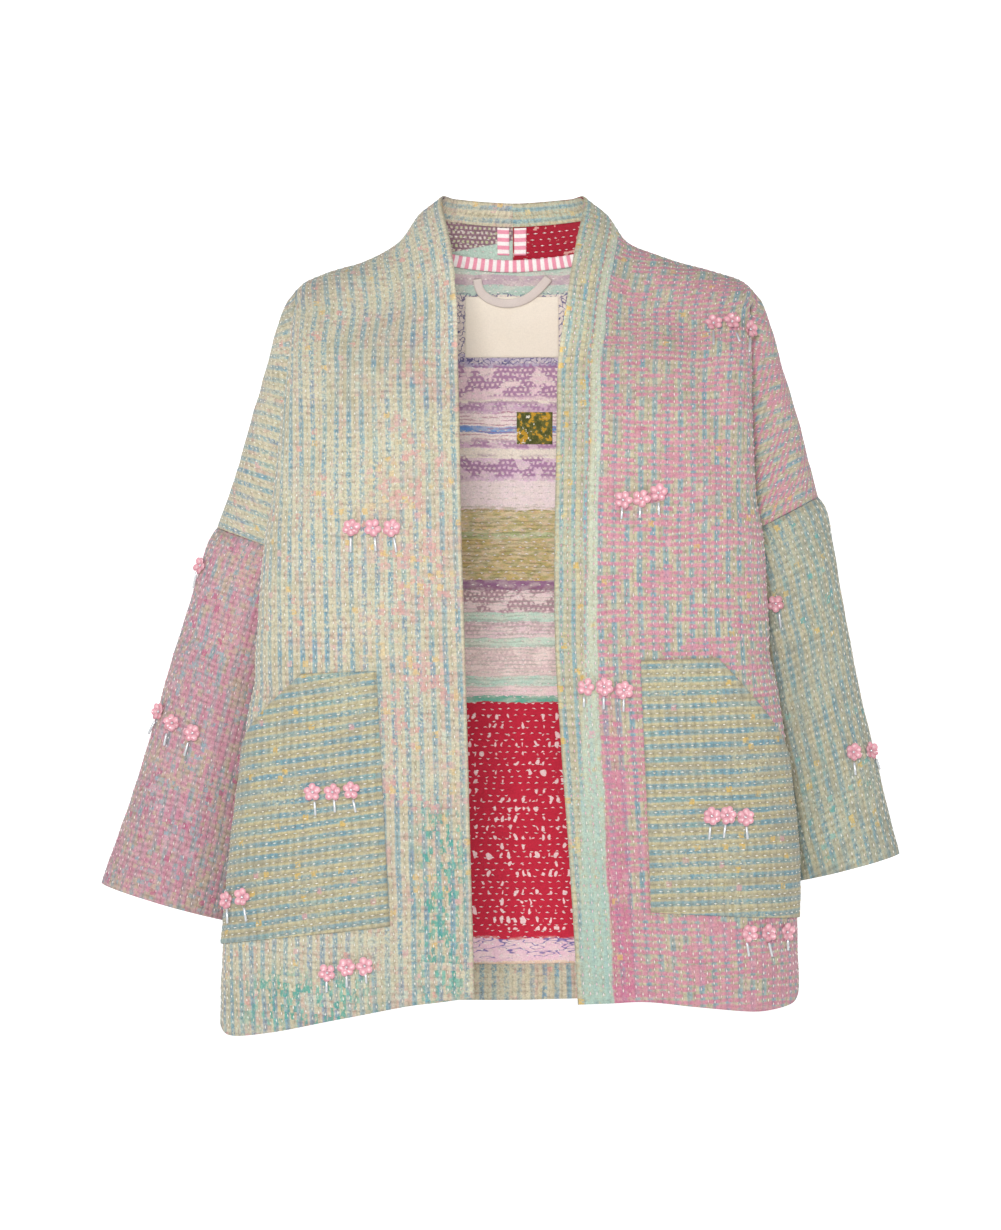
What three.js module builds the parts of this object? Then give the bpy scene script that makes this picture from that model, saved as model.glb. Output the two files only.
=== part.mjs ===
// An open-front quilted jacket, filled out as it is worn with nobody inside it.
// Millimetres, +Z up, +X to the wearer's left, the front faces -Y.
// The origin is where the neck and shoulders hold the jacket up.
import * as THREE from "three";
import { mergeVertices } from "three/addons/utils/BufferGeometryUtils.js";

// Driving sizes
const CLOTH = 2.4; // thickness of the quilted cloth
const SEAM_GAP = 0.16; // each panel stops this far short of its seam
const LAYER_GAP = 0.3; // between a panel and what lies on it
const BAND = 56; // width of the turned-back front band and the collar
const THIN_CLOTH = 1.0; // thickness of the label and the darned patch
const TAPE = 1.4; // thickness of the striped seam tape
const STRAP_WIDTH = 8; // hanging loop
const STRAP_THICKNESS = 2.4;
const FACING = 1.6; // thickness of the turned-in edges
const FACING_WIDTH = 21;
const FACING_END = -15; // it ends at this height, below the collar

// Colours
const COLOURS = {
  greenCloth: 0xbfc3ae,
  pinkCloth: 0xc79fa2,
  pinkSleeve: 0xcf8fa3,
  blueSleeve: 0xa9bab3,
  pocketCloth: 0xb5b8a4,
  backCloth: 0xb9bdae,
  plumCloth: 0x8d6f78,
  redCloth: 0xab1a31,
  stripedTape: 0xf3b9c2,
  strap: 0xd6c9c0,
  label: 0xf3e8d8,
  olive: 0x5f5f2a,
};

// The body, one row for each level, for the two fronts and the back together.
// front and back are how far the cloth stands before and behind the shoulder line,
// and spine is the same at the middle of the back.
// fold is how far forward the cloth rolls where it turns into the armhole crease.
const LEVELS = [
  { z: -42, front: -54, back: 52, spine: 75, fold: -30, backFold: 30, tuck: 2 },
  { z: -88, front: -92, back: 84, spine: 90, fold: -52, backFold: 50, tuck: 4 },
  { z: -138, front: -113, back: 101, spine: 101, fold: -63, backFold: 60, tuck: 5 },
  { z: -192, front: -122, back: 106, spine: 107, fold: -67, backFold: 64, tuck: 5 },
  { z: -246, front: -126, back: 106, spine: 107, fold: -68, backFold: 66, tuck: 5 },
  { z: -330, front: -126, back: 104, spine: 105, fold: -68, backFold: 66, tuck: 5 },
  { z: -420, front: -127, back: 106, spine: 107, fold: -68, backFold: 67, tuck: 5 },
  { z: -510, front: -129, back: 110, spine: 111, fold: -68, backFold: 68, tuck: 5 },
  { z: -590, front: -131, back: 113, spine: 114, fold: -67, backFold: 68, tuck: 4 },
  { z: -650, front: -132, back: 115, spine: 116, fold: -66, backFold: 68, tuck: 4 },
];
const UNDERARM = 4; // index in LEVELS of the underarm point

// Each side's own outline, one row for each level above.
// edge is the front opening, lip the widest point of the front, and seam and seamY
// the bottom of the armhole crease and, below the underarm, the side seam.
// drop is how far the cloth sinks from the lip to that seam.
const SIDES = {
  left: {
    sign: 1,
    outline: [
      { edge: 45.5, lip: 206.5, seam: 203, seamY: 19, drop: 6 },
      { edge: 38.5, lip: 207, seam: 196, seamY: 24, drop: 7 },
      { edge: 36.8, lip: 207, seam: 184, seamY: 22, drop: 8 },
      { edge: 35.9, lip: 209.8, seam: 171, seamY: 13, drop: 10 },
      { edge: 34.8, lip: 216.5, seam: 158, seamY: 0, drop: 14 },
      { edge: 35.2, lip: 222, seam: 175, seamY: 0, drop: 9 },
      { edge: 40.5, lip: 234.5, seam: 194, seamY: 0, drop: 3 },
      { edge: 47, lip: 244, seam: 215, seamY: 0, drop: 0 },
      { edge: 52, lip: 245.5, seam: 232, seamY: 0, drop: 0 },
      { edge: 54.5, lip: 247, seam: 239, seamY: 0, drop: 0 },
    ],
    hem: { edge: -637, band: -635, middle: -640, outer: -644.5, near: -640, lip: -632, side: -640 },
    ridge: [
      { x: 99.4, z: 23 },
      { x: 140.8, z: 5.4 },
      { x: 180, z: -5.2 },
      { x: 199.8, z: -12.2 },
      { x: 205, z: -15.5 },
      { x: 208, z: -18 },
      { x: 209.6, z: -19.6 },
      { x: 211, z: -21 },
    ],
    // The outer line of the dropped shoulder, from the shoulder to the sleeve seam.
    arm: [
      { x: 218.2, z: -29.8 },
      { x: 222.5, z: -41 },
      { x: 227, z: -55 },
      { x: 236.5, z: -87 },
      { x: 247, z: -121 },
      { x: 257, z: -159 },
      { x: 269, z: -203 },
    ],
    // The sleeve below that seam: outer and inner line, and half its depth.
    sleeve: [
      { x: 274.8, z: -212, innerX: 164.5, innerZ: -270, depth: 43, y: 0 },
      { x: 282.8, z: -250, innerX: 175, innerZ: -300, depth: 42, y: 0 },
      { x: 292.4, z: -308, innerX: 185, innerZ: -350, depth: 41, y: 1 },
      { x: 305, z: -372, innerX: 196.5, innerZ: -408, depth: 41, y: 2 },
      { x: 318, z: -427, innerX: 208.5, innerZ: -459, depth: 42, y: 2 },
      { x: 330.5, z: -480, innerX: 220.5, innerZ: -509.5, depth: 43, y: 2 },
      { x: 340.4, z: -516.5, innerX: 229, innerZ: -544.5, depth: 44, y: 2 },
    ],
    colour: COLOURS.pinkCloth,
    sleeveColour: COLOURS.blueSleeve,
    collarColour: COLOURS.redCloth,
  },
  right: {
    sign: -1,
    outline: [
      { edge: 49, lip: 192, seam: 189, seamY: 19, drop: 6 },
      { edge: 47.5, lip: 195, seam: 185, seamY: 24, drop: 8 },
      { edge: 46, lip: 200.5, seam: 177, seamY: 22, drop: 10 },
      { edge: 45, lip: 207, seam: 167, seamY: 13, drop: 14 },
      { edge: 43.8, lip: 215, seam: 156, seamY: 0, drop: 22 },
      { edge: 41.3, lip: 221.5, seam: 175, seamY: 0, drop: 13 },
      { edge: 38.7, lip: 232, seam: 195, seamY: 0, drop: 5 },
      { edge: 36.5, lip: 242.5, seam: 215, seamY: 0, drop: 0 },
      { edge: 34, lip: 250, seam: 233, seamY: 0, drop: 0 },
      { edge: 33, lip: 253.5, seam: 240, seamY: 0, drop: 0 },
    ],
    hem: { edge: -631, band: -638.5, middle: -650, outer: -663, near: -667, lip: -658, side: -662 },
    ridge: [
      { x: 98.6, z: 23 },
      { x: 128.5, z: 5.4 },
      { x: 160, z: -4.3 },
      { x: 180.4, z: -12.2 },
      { x: 185, z: -15 },
      { x: 188.5, z: -18 },
      { x: 190.3, z: -19.6 },
      { x: 191.8, z: -21 },
    ],
    arm: [
      { x: 198.9, z: -29.8 },
      { x: 203.5, z: -41 },
      { x: 208, z: -55 },
      { x: 217, z: -90 },
      { x: 229, z: -131 },
      { x: 243, z: -180 },
      { x: 261, z: -230 },
    ],
    sleeve: [
      { x: 267, z: -240, innerX: 162.5, innerZ: -279, depth: 43, y: 0 },
      { x: 277.2, z: -272, innerX: 174, innerZ: -312, depth: 42, y: 0 },
      { x: 297.4, z: -338, innerX: 189.5, innerZ: -374, depth: 41, y: 1 },
      { x: 316.8, z: -404, innerX: 205, innerZ: -438, depth: 41, y: 2 },
      { x: 337, z: -470, innerX: 220.5, innerZ: -505, depth: 42, y: 2 },
      { x: 352, z: -514, innerX: 231, innerZ: -549, depth: 43, y: 2 },
      { x: 362.4, z: -542.5, innerX: 238, innerZ: -578.5, depth: 44, y: 2 },
    ],
    colour: COLOURS.greenCloth,
    sleeveColour: COLOURS.pinkSleeve,
    collarColour: COLOURS.plumCloth,
  },
};
const BACK_HEM = -656; // the back's hem at its middle
const BACK_LIP_INSET = 3; // the back's crease lies this far inside the front's

// The collar behind the neck, from the shoulder to the centre back:
// edge is its top edge and seam its neck seam.
const COLLAR = [
  { edge: [52, 30, 62.5], seam: [72, 36, 13.5] },
  { edge: [28, 46, 61.5], seam: [38, 54, 8] },
  { edge: [0, 51, 60.5], seam: [0, 61, 5.5] },
];
const COLLAR_TOP = { x: 63.4, y: -1, z: 61 };
const COLLAR_SLOPE = { x: 55, y: -46, z: 14 }; // front edge halfway up to that top
const COLLAR_SWELL = 2.5; // how far the middle of the band stands out

// Half the depth of the dropped shoulder, one row for each point of arm above.
const ARM_DEPTHS = [0, 12, 24, 33, 38, 40, 41];

// Soft folds in the cloth, each a line in the front view with a Gaussian section.
// face is -1 before the shoulder line and 1 behind it; height above 0 is a ridge.
const FOLDS = [
  { face: -1, x1: 150, z1: -60, x2: 195, z2: -205, width: 17, height: -3.5 },
  { face: -1, x1: -142, z1: -62, x2: -190, z2: -215, width: 17, height: -3.5 },
  { face: -1, x1: 190, z1: -330, x2: 205, z2: -600, width: 24, height: 3 },
  { face: -1, x1: -120, z1: -420, x2: -135, z2: -640, width: 26, height: 3.5 },
  { face: -1, x1: -205, z1: -460, x2: -215, z2: -650, width: 20, height: -3 },
  { face: -1, x1: 120, z1: -480, x2: 128, z2: -640, width: 24, height: -3 },
  { face: 1, x1: -70, z1: -300, x2: -92, z2: -650, width: 28, height: 4.5 },
  { face: 1, x1: 78, z1: -340, x2: 96, z2: -650, width: 28, height: 4 },
  { face: 1, x1: 8, z1: -380, x2: 2, z2: -650, width: 30, height: -4 },
  { face: 1, x1: 150, z1: -70, x2: 188, z2: -230, width: 17, height: -4 },
  { face: 1, x1: -145, z1: -70, x2: -185, z2: -225, width: 17, height: -4 },
  { face: 1, x1: 168, z1: -420, x2: 182, z2: -640, width: 22, height: -3 },
  { face: 1, x1: -172, z1: -400, x2: -190, z2: -650, width: 22, height: -3 },
  { face: -1, x1: 282, z1: -300, x2: 215, z2: -345, width: 12, height: -2.5 },
  { face: -1, x1: -290, z1: -320, x2: -215, z2: -372, width: 12, height: -2.5 },
  { face: 1, x1: 285, z1: -290, x2: 205, z2: -330, width: 12, height: -3.5 },
  { face: 1, x1: -288, z1: -305, x2: -205, z2: -345, width: 12, height: -3.5 },
  { face: 1, x1: 300, z1: -345, x2: 222, z2: -392, width: 12, height: -3 },
  { face: 1, x1: -305, z1: -365, x2: -222, z2: -410, width: 12, height: -3 },
];

// Patch pockets, in the front view. The slanted opening runs from the top corner over
// the lip of the front and on to the side seam.
const POCKETS = {
  left: {
    innerTop: { x: 108.2, z: -345.7 },
    topCorner: { x: 173.9, z: -343.6 },
    slantAtLip: { x: 227, z: -408 },
    innerBottom: { x: 116.6, z: -559.3 },
    bottomAtLip: { x: 240.5, z: -566.7 },
  },
  right: {
    innerTop: { x: 116.6, z: -354.5 },
    topCorner: { x: 180.7, z: -357.3 },
    slantAtLip: { x: 230, z: -414 },
    innerBottom: { x: 104.7, z: -570.6 },
    bottomAtLip: { x: 247.5, z: -589.2 },
  },
};

// What lies inside the back, as outlines seen from the front.
const LABEL = { left: -43, right: 41.7, top: -21, bottom: -74 };
const PATCH = { left: 3.8, right: 36, top: -123, bottom: -152 };
// The two tapes beside the collar's centre-back seam.
const COLLAR_TAPES = { left: { from: 1.2, to: 12.4 }, right: { from: 3.4, to: 14.2 } };
const TAPE_REACH = 47; // how far down the collar they come
const NECK_TAPE = { width: 11, thickness: 3 };
// The middle line of the hanging loop.
const LOOP = [
  { x: -32.5, z: -4.5 },
  { x: -31, z: -12.5 },
  { x: -26, z: -19.5 },
  { x: -15, z: -25 },
  { x: -2, z: -26.3 },
  { x: 10, z: -23.5 },
  { x: 20, z: -17 },
  { x: 28, z: -9 },
  { x: 32.5, z: -3.5 },
];

// How many facets each stretch between two control points gets.
const ACROSS_FRONT = [2, 2, 3, 3, 1, 2, 2, 2, 2];
const DOWN_BODY = [2, 2, 2, 2, 2, 2, 3, 3, 3, 3, 2];
const ACROSS_ARM = [2, 3, 3, 2];
const DOWN_SLEEVE = [1, 2, 2, 2, 2, 2, 1];
const ACROSS_BACK_NECK = [2, 2, 2];

const point = (x, y, z) => new THREE.Vector3(x, y, z);
const mirrored = (p) => point(p.x, -p.y, p.z);
const between = (a, b, share) => a.clone().lerp(b, share);

// Points of a smooth curve through the given ones, steps[i] of them on stretch i.
function splinePoints(points, steps, before, after) {
  const all = [...(before ? [before] : []), ...points, ...(after ? [after] : [])];
  const curve = new THREE.CatmullRomCurve3(all, false, "centripetal");
  const first = before ? 1 : 0;
  const made = [];
  steps.forEach((count, stretch) => {
    for (let k = 0; k < count; k++) {
      made.push(curve.getPoint((first + stretch + k / count) / (all.length - 1)));
    }
  });
  made.push(points[points.length - 1].clone());
  return made;
}

// A grid of points lofted through control rows: grid[row][column].
// ends.above, ends.below and ends.outside hold control points past the net's edges.
function loft(rows, across, down, ends = {}) {
  const { above, below, outside } = ends;
  const acrossRows = (row, i) =>
    splinePoints(row, across, undefined, outside && outside[i]);
  const spread = rows.map(acrossRows);
  const top = above && splinePoints(above, across);
  const bottom = below && splinePoints(below, across);
  const columns = spread[0].map((_, j) =>
    splinePoints(
      spread.map((row) => row[j]),
      down,
      top && top[j],
      bottom && bottom[j],
    ),
  );
  return columns[0].map((_, i) => columns.map((column) => column[i]));
}

// Control rows of one side's front or back, from the shoulder ridge to the hem.
// face is -1 for the front and 1 for the back.
function bodyRows(side, face) {
  const isFront = face < 0;
  const { sign, outline, hem, ridge } = side;
  const ridgeRow = ridge.map((p) => point(sign * p.x, 0, p.z));
  const slopeRow = ridge.map((p, i) => {
    const y = [26, 27, 26, 24, 22, 19, 17, 15][i];
    return point(sign * (p.x - (i > 4 ? 1 : 0)), face * y, p.z - [21, 13, 12, 12, 13, 13, 14, 14][i]);
  });
  const rows = [ridgeRow, slopeRow];
  LEVELS.forEach((level, k) => {
    const line = outline[k];
    const atHem = k === LEVELS.length - 1;
    const bandX = line.edge + BAND;
    const lip = line.lip - (isFront ? 0 : BACK_LIP_INSET);
    const fold = isFront ? level.fold : level.backFold;
    const depth = isFront ? level.front : level.back;
    const seamY = face * line.seamY;
    const behind = { x: lip - level.tuck, y: fold * 0.8 };
    const tucked = {
      x: line.seam + 0.3 * (behind.x - line.seam),
      y: seamY + 0.82 * (behind.y - seamY),
    };
    const sink = [0, 0, 0, 0, 0, 0.2, 0.6, 1];
    const z = atHem ? hemHeights(hem, isFront) : sink.map((d) => level.z - d * line.drop);
    const xs = [
      bandX,
      bandX + 0.36 * (lip - bandX),
      bandX + 0.74 * (lip - bandX),
      lip - 7,
      lip,
      behind.x,
      tucked.x,
      line.seam,
    ];
    const ys = [depth, depth * 0.97, depth * 0.86, fold * 1.32, fold, behind.y, tucked.y, seamY];
    rows.push(xs.map((x, i) => point(sign * x, ys[i], z[i])));
  });
  return rows;
}

function hemHeights(hem, isFront) {
  if (isFront) {
    const { band, middle, outer, near, lip, side } = hem;
    return [band, middle, outer, near, lip, (lip + side) / 2, side, side];
  }
  const shares = [0.1, 0.35, 0.6, 0.8, 1, 1, 1, 1];
  return shares.map((share) => BACK_HEM + share * (hem.side - BACK_HEM));
}

// Points of the front band: its edge and its middle line, for every body row.
function bandRows(side, rows) {
  const { sign, outline, hem } = side;
  const swell = (edge, seam, by) => between(edge, seam, 0.5).add(by);
  return rows.map((row, i) => {
    const seam = row[0];
    if (i === 0) {
      const edge = point(sign * COLLAR_TOP.x, COLLAR_TOP.y, COLLAR_TOP.z);
      return [edge, swell(edge, seam, point(sign * COLLAR_SWELL, 0, COLLAR_SWELL))];
    }
    if (i === 1) {
      const edge = point(sign * COLLAR_SLOPE.x, COLLAR_SLOPE.y, COLLAR_SLOPE.z);
      return [edge, swell(edge, seam, point(0, -COLLAR_SWELL, COLLAR_SWELL))];
    }
    const level = LEVELS[i - 2];
    const z = i === rows.length - 1 ? hem.edge : level.z;
    const lean = i === 2 ? -24 : 0;
    const edge = point(sign * outline[i - 2].edge, level.front + lean, z);
    return [edge, swell(edge, seam, point(0, -1.5, 0))];
  });
}

function collarRows(side) {
  return COLLAR.map(({ edge, seam }) => {
    const top = point(side.sign * edge[0], edge[1], edge[2]);
    const foot = point(side.sign * seam[0], seam[1], seam[2]);
    const out = point(side.sign * edge[0], edge[1], 0).setLength(COLLAR_SWELL);
    return [top, between(top, foot, 0.5).add(out), foot];
  });
}

// Half a ring round the arm, from its inner line over the front or back to its outer one.
function halfRing(inner, outer, depth, face, yInner) {
  const at = (share, y) => {
    const p = between(inner, outer, share);
    return point(p.x, y + share * outer.y, p.z);
  };
  return [
    inner,
    at(0.12, face * (0.7 * yInner + 0.5 * depth) + 0.88 * (yInner ? 0 : inner.y)),
    at(0.5, face * depth + (yInner ? 0 : 0.5 * inner.y)),
    at(0.88, face * 0.64 * depth),
    outer,
  ];
}

function armRows(side, rows, face) {
  const count = UNDERARM + 3;
  return rows.slice(0, count).map((row, i) => {
    const inner = row[row.length - 1];
    const arm = side.arm[i];
    const outer = point(side.sign * arm.x, 0, arm.z);
    const yInner = i === 0 ? 0 : Math.abs(inner.y);
    return halfRing(inner, outer, ARM_DEPTHS[i], face, yInner);
  });
}

function sleeveRows(side, seamRow, face) {
  const rows = side.sleeve.map((s) => {
    const inner = point(side.sign * s.innerX, s.y, s.innerZ);
    const outer = point(side.sign * s.x, s.y, s.z);
    return halfRing(inner, outer, s.depth, face, 0);
  });
  return [seamRow, ...rows];
}

// How far the soft folds move a point of the cloth along its normal.
function foldHeight(p) {
  let height = 0;
  for (const f of FOLDS) {
    if (f.face * p.y < 4) continue;
    const dx = f.x2 - f.x1;
    const dz = f.z2 - f.z1;
    const along = ((p.x - f.x1) * dx + (p.z - f.z1) * dz) / (dx * dx + dz * dz);
    const share = Math.min(1, Math.max(0, along));
    const away = Math.hypot(p.x - f.x1 - share * dx, p.z - f.z1 - share * dz);
    const fade = Math.min(1, (Math.abs(p.y) - 4) / 16);
    height += fade * f.height * Math.exp(-((away / f.width) ** 2));
  }
  return height;
}

// All outer grids of one side. Neighbours share their border points exactly.
function sideGrids(side) {
  const front = bodyRows(side, -1);
  const back = bodyRows(side, 1);
  const band = bandRows(side, front);
  const collar = collarRows(side);
  const frontNet = front.map((row, i) => [...band[i], ...row]);
  const ghostTop = [
    ...collar[0],
    ...back[1].slice(1),
  ];
  const seamGhosts = (rows, other) =>
    rows.map((_, i) => (i >= UNDERARM + 2 ? other[i][other[i].length - 2] : undefined));
  const main = loft(frontNet, ACROSS_FRONT, DOWN_BODY, {
    above: ghostTop,
    outside: seamGhosts(front, back),
  });
  const bandColumns = ACROSS_FRONT[0] + ACROSS_FRONT[1];
  const collarTop = main[0].slice(0, bandColumns + 1);
  const collarNet = [[frontNet[0][0], frontNet[0][1], frontNet[0][2]], ...collar];
  const ghostCentre = collar[1].map((p) => point(-p.x, p.y, p.z));
  const neck = loft(collarNet, ACROSS_FRONT.slice(0, 2), ACROSS_BACK_NECK, {
    above: frontNet[1].slice(0, 3),
    below: ghostCentre,
  });
  collarTop.forEach((p, j) => neck[0][j].copy(p));

  const centre = back.map((row, i) => {
    if (i === 0) return collar[2][2];
    const level = LEVELS[i - 2];
    const y = i === 1 ? 67 : level.spine;
    const z = i === 1 ? -16 : i === back.length - 1 ? BACK_HEM : level.z;
    return point(0, y, z);
  });
  const inner = back.map((row, i) => {
    if (i === 0) return [collar[1][2], collar[0][2]];
    const share = i === 1 ? 0.86 : 1;
    const at = (s) => {
      const p = between(centre[i], row[0], s);
      p.y = centre[i].y + (row[0].y - centre[i].y) * s * s * share;
      return p;
    };
    return [at(0.38), at(0.72)];
  });
  const backNet = back.map((row, i) => [centre[i], ...inner[i], ...row]);
  const acrossBack = [...ACROSS_BACK_NECK, ...ACROSS_FRONT.slice(2)];
  const rear = loft(backNet, acrossBack, DOWN_BODY, {
    above: backNet[1].map((p, j) => (j < 3 ? collar[2 - j][1] : front[1][j - 3])),
    outside: seamGhosts(back, front),
  });
  const neckSteps = ACROSS_BACK_NECK.reduce((a, b) => a + b, 0);
  for (let j = 0; j <= neckSteps; j++) rear[0][j].copy(neck[neckSteps - j][bandColumns]);
  for (let j = bandColumns; j < main[0].length; j++) {
    rear[0][j - bandColumns + neckSteps].copy(main[0][j]);
  }
  // Below the underarm the fronts and the back share the side seam.
  const armSteps = DOWN_BODY.slice(0, UNDERARM + 2).reduce((a, b) => a + b, 0);
  for (let i = armSteps; i < main.length; i++) {
    rear[i][rear[i].length - 1].copy(main[i][main[i].length - 1]);
  }

  const downArm = DOWN_BODY.slice(0, UNDERARM + 2);
  const armGrid = (rows, body, face) => {
    const net = armRows(side, rows, face);
    const grid = loft(net, ACROSS_ARM, downArm, {
      outside: net.map((row) => mirrored(row[3])),
    });
    grid.forEach((row, i) => row[0].copy(body[i][body[i].length - 1]));
    return { net, grid };
  };
  const armFront = armGrid(front, main, -1);
  const armBack = armGrid(back, rear, 1);
  armFront.grid.forEach((row, i) => {
    const last = row.length - 1;
    armBack.grid[i][last].copy(row[last]);
  });
  armFront.grid[0].forEach((p, j) => armBack.grid[0][j].copy(p));

  const sleeveGrid = (arm, face) => {
    const net = sleeveRows(side, arm.net[arm.net.length - 1], face);
    const grid = loft(net, ACROSS_ARM, DOWN_SLEEVE, {
      outside: net.map((row) => point(row[3].x, 2 * row[4].y - row[3].y, row[3].z)),
    });
    arm.grid[arm.grid.length - 1].forEach((p, j) => grid[0][j].copy(p));
    return grid;
  };
  const sleeveFront = sleeveGrid(armFront, -1);
  const sleeveBack = sleeveGrid(armBack, 1);
  sleeveFront.forEach((row, i) => {
    sleeveBack[i][0].copy(row[0]);
    sleeveBack[i][row.length - 1].copy(row[row.length - 1]);
  });
  return {
    front: { main, neck, arm: armFront.grid },
    back: { main: rear, arm: armBack.grid },
    sleeve: { front: sleeveFront, back: sleeveBack },
  };
}

// Triangles of a grid. Flipped grids run the other way round.
// firstRow keeps the same diagonals in a grid that is cut from a larger one.
function gridTriangles(grid, flip, firstRow = 0) {
  const triangles = [];
  for (let i = 0; i + 1 < grid.length; i++) {
    for (let j = 0; j + 1 < grid[i].length; j++) {
      const [a, b] = [grid[i][j], grid[i][j + 1]];
      const [c, d] = [grid[i + 1][j], grid[i + 1][j + 1]];
      const quads = (firstRow + i + j) % 2 ? [[a, c, b], [b, c, d]] : [[a, c, d], [a, d, b]];
      for (const [p, q, r] of quads) triangles.push(flip ? [p, r, q] : [p, q, r]);
    }
  }
  return triangles;
}

const keyOf = (p) => [p.x, p.y, p.z].map((v) => Math.round(v * 1000)).join(",");

// Normals at every point, smoothed over all the panels that meet there.
function sharedNormals(triangles) {
  const normals = new Map();
  for (const [p, q, r] of triangles) {
    const n = q.clone().sub(p).cross(r.clone().sub(p));
    for (const corner of [p, q, r]) {
      const key = keyOf(corner);
      if (!normals.has(key)) normals.set(key, point(0, 0, 0));
      normals.get(key).add(n);
    }
  }
  normals.forEach((n) => n.normalize());
  return normals;
}

// A closed wall: the given triangles on the outside and a copy moved along the normals.
// start and end say how far along the normal the outer and inner faces lie.
function wallGeometry(triangles, normals, start, end, seamGap) {
  const index = new Map();
  const points = [];
  const faces = triangles.map((corners) =>
    corners.map((p) => {
      const key = keyOf(p);
      if (!index.has(key)) {
        index.set(key, points.length);
        points.push({ at: p.clone(), normal: normals.get(key), key });
      }
      return index.get(key);
    }),
  );
  const open = new Map();
  for (const face of faces) {
    face.forEach((a, k) => {
      const b = face[(k + 1) % 3];
      if (open.has(`${b},${a}`)) open.delete(`${b},${a}`);
      else open.set(`${a},${b}`, [a, b, face[(k + 2) % 3]]);
    });
  }
  // Each border point moves into its own panel, square to the border.
  const inward = new Map();
  for (const [a, b, c] of open.values()) {
    const edge = points[b].at.clone().sub(points[a].at).normalize();
    const way = points[c].at.clone().sub(points[a].at);
    way.addScaledVector(edge, -way.dot(edge)).normalize();
    for (const i of [a, b]) {
      if (!inward.has(i)) inward.set(i, point(0, 0, 0));
      inward.get(i).add(way);
    }
  }
  inward.forEach((way, i) => {
    if (way.length() > 0) points[i].moved = way.setLength(seamGap);
  });
  points.forEach((p) => p.moved && p.at.add(p.moved));
  const place = (p, by) => p.at.clone().addScaledVector(p.normal, by);
  const outer = points.map((p) => place(p, start));
  const inner = points.map((p) => place(p, end));
  const corners = [];
  for (const [a, b, c] of faces) {
    corners.push(outer[a], outer[b], outer[c], inner[a], inner[c], inner[b]);
  }
  // Both panels at a seam split its side faces along the same diagonal.
  for (const [a, b] of open.values()) {
    if (points[a].key < points[b].key) {
      corners.push(outer[b], outer[a], inner[b], outer[a], inner[a], inner[b]);
    } else {
      corners.push(outer[b], outer[a], inner[a], outer[b], inner[a], inner[b]);
    }
  }
  return solidFrom(corners);
}

function solidFrom(corners) {
  const geometry = new THREE.BufferGeometry().setFromPoints(corners);
  const merged = mergeVertices(geometry, 1e-3);
  merged.computeVertexNormals();
  return merged;
}

const jacket = new THREE.Group();
jacket.name = "jacket";

function addPiece(name, geometry, color, roughness = 0.95) {
  const material = new THREE.MeshStandardMaterial({ color, roughness, metalness: 0 });
  const mesh = new THREE.Mesh(geometry, material);
  mesh.name = name;
  jacket.add(mesh);
}

const grids = { left: sideGrids(SIDES.left), right: sideGrids(SIDES.right) };

// Every distinct point is moved by the folds once, before the walls are made.
function foldAllPoints() {
  const triangles = allOuterTriangles();
  const normals = sharedNormals(triangles);
  const seen = new Set();
  for (const name of ["left", "right"]) {
    const { front, back, sleeve } = grids[name];
    const parts = [front.main, front.neck, front.arm, back.main, back.arm, sleeve.front, sleeve.back];
    const moves = [];
    for (const grid of parts) {
      for (const p of grid.flat()) {
        if (seen.has(p)) continue;
        seen.add(p);
        moves.push([p, normals.get(keyOf(p)), foldHeight(p)]);
      }
    }
    moves.forEach(([p, n, height]) => p.addScaledVector(n, height));
  }
}

// Left-side grids face outwards as they are lofted and the right side's the other way.
function panelTriangles(name, panel) {
  const flip = name === "right";
  const { front, back, sleeve } = grids[name];
  if (panel === "front") {
    return [
      ...gridTriangles(front.main, flip),
      ...gridTriangles(front.neck, !flip),
      ...gridTriangles(front.arm, flip),
    ];
  }
  if (panel === "back") {
    return [...gridTriangles(back.main, !flip), ...gridTriangles(back.arm, !flip)];
  }
  return [...gridTriangles(sleeve.front, flip), ...gridTriangles(sleeve.back, !flip)];
}

function allOuterTriangles() {
  return ["left", "right"].flatMap((name) =>
    ["front", "back", "sleeve"].flatMap((panel) => panelTriangles(name, panel)),
  );
}

foldAllPoints();
const normals = sharedNormals(allOuterTriangles());

// How far each point of a front lies from the front edge, measured over the cloth.
function distancesFromEdge(grid) {
  const distances = new Map();
  for (const row of grid) {
    let distance = 0;
    row.forEach((p, j) => {
      if (j > 0) distance += p.distanceTo(row[j - 1]);
      distances.set(keyOf(p), distance);
    });
  }
  return distances;
}

// The part of some triangles on the kept side of a line: measure gives a point's
// distance from that line, above zero on the kept side.
function cutAway(triangles, measure, extra) {
  const kept = [];
  const crossing = (p, dp, q, dq) => {
    const [a, da, b, db] = keyOf(p) < keyOf(q) ? [p, dp, q, dq] : [q, dq, p, dp];
    const share = da / (da - db);
    const made = between(a, b, share);
    const key = keyOf(made);
    extra.forEach((values) => {
      const [from, to] = [values.get(keyOf(a)), values.get(keyOf(b))];
      if (typeof from === "number") values.set(key, from + share * (to - from));
      else values.set(key, between(from, to, share).normalize());
    });
    return made;
  };
  for (const corners of triangles) {
    const sizes = corners.map((p) => {
      const d = measure(p);
      return Math.abs(d) < 0.4 ? 0 : d;
    });
    if (sizes.every((d) => d <= 0)) continue;
    const polygon = [];
    corners.forEach((p, k) => {
      const q = corners[(k + 1) % 3];
      const [dp, dq] = [sizes[k], sizes[(k + 1) % 3]];
      if (dp >= 0) polygon.push(p);
      if (dp * dq < 0) polygon.push(crossing(p, dp, q, dq));
    });
    for (let k = 1; k + 1 < polygon.length; k++) {
      kept.push([polygon[0], polygon[k], polygon[k + 1]]);
    }
  }
  return kept;
}

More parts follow.
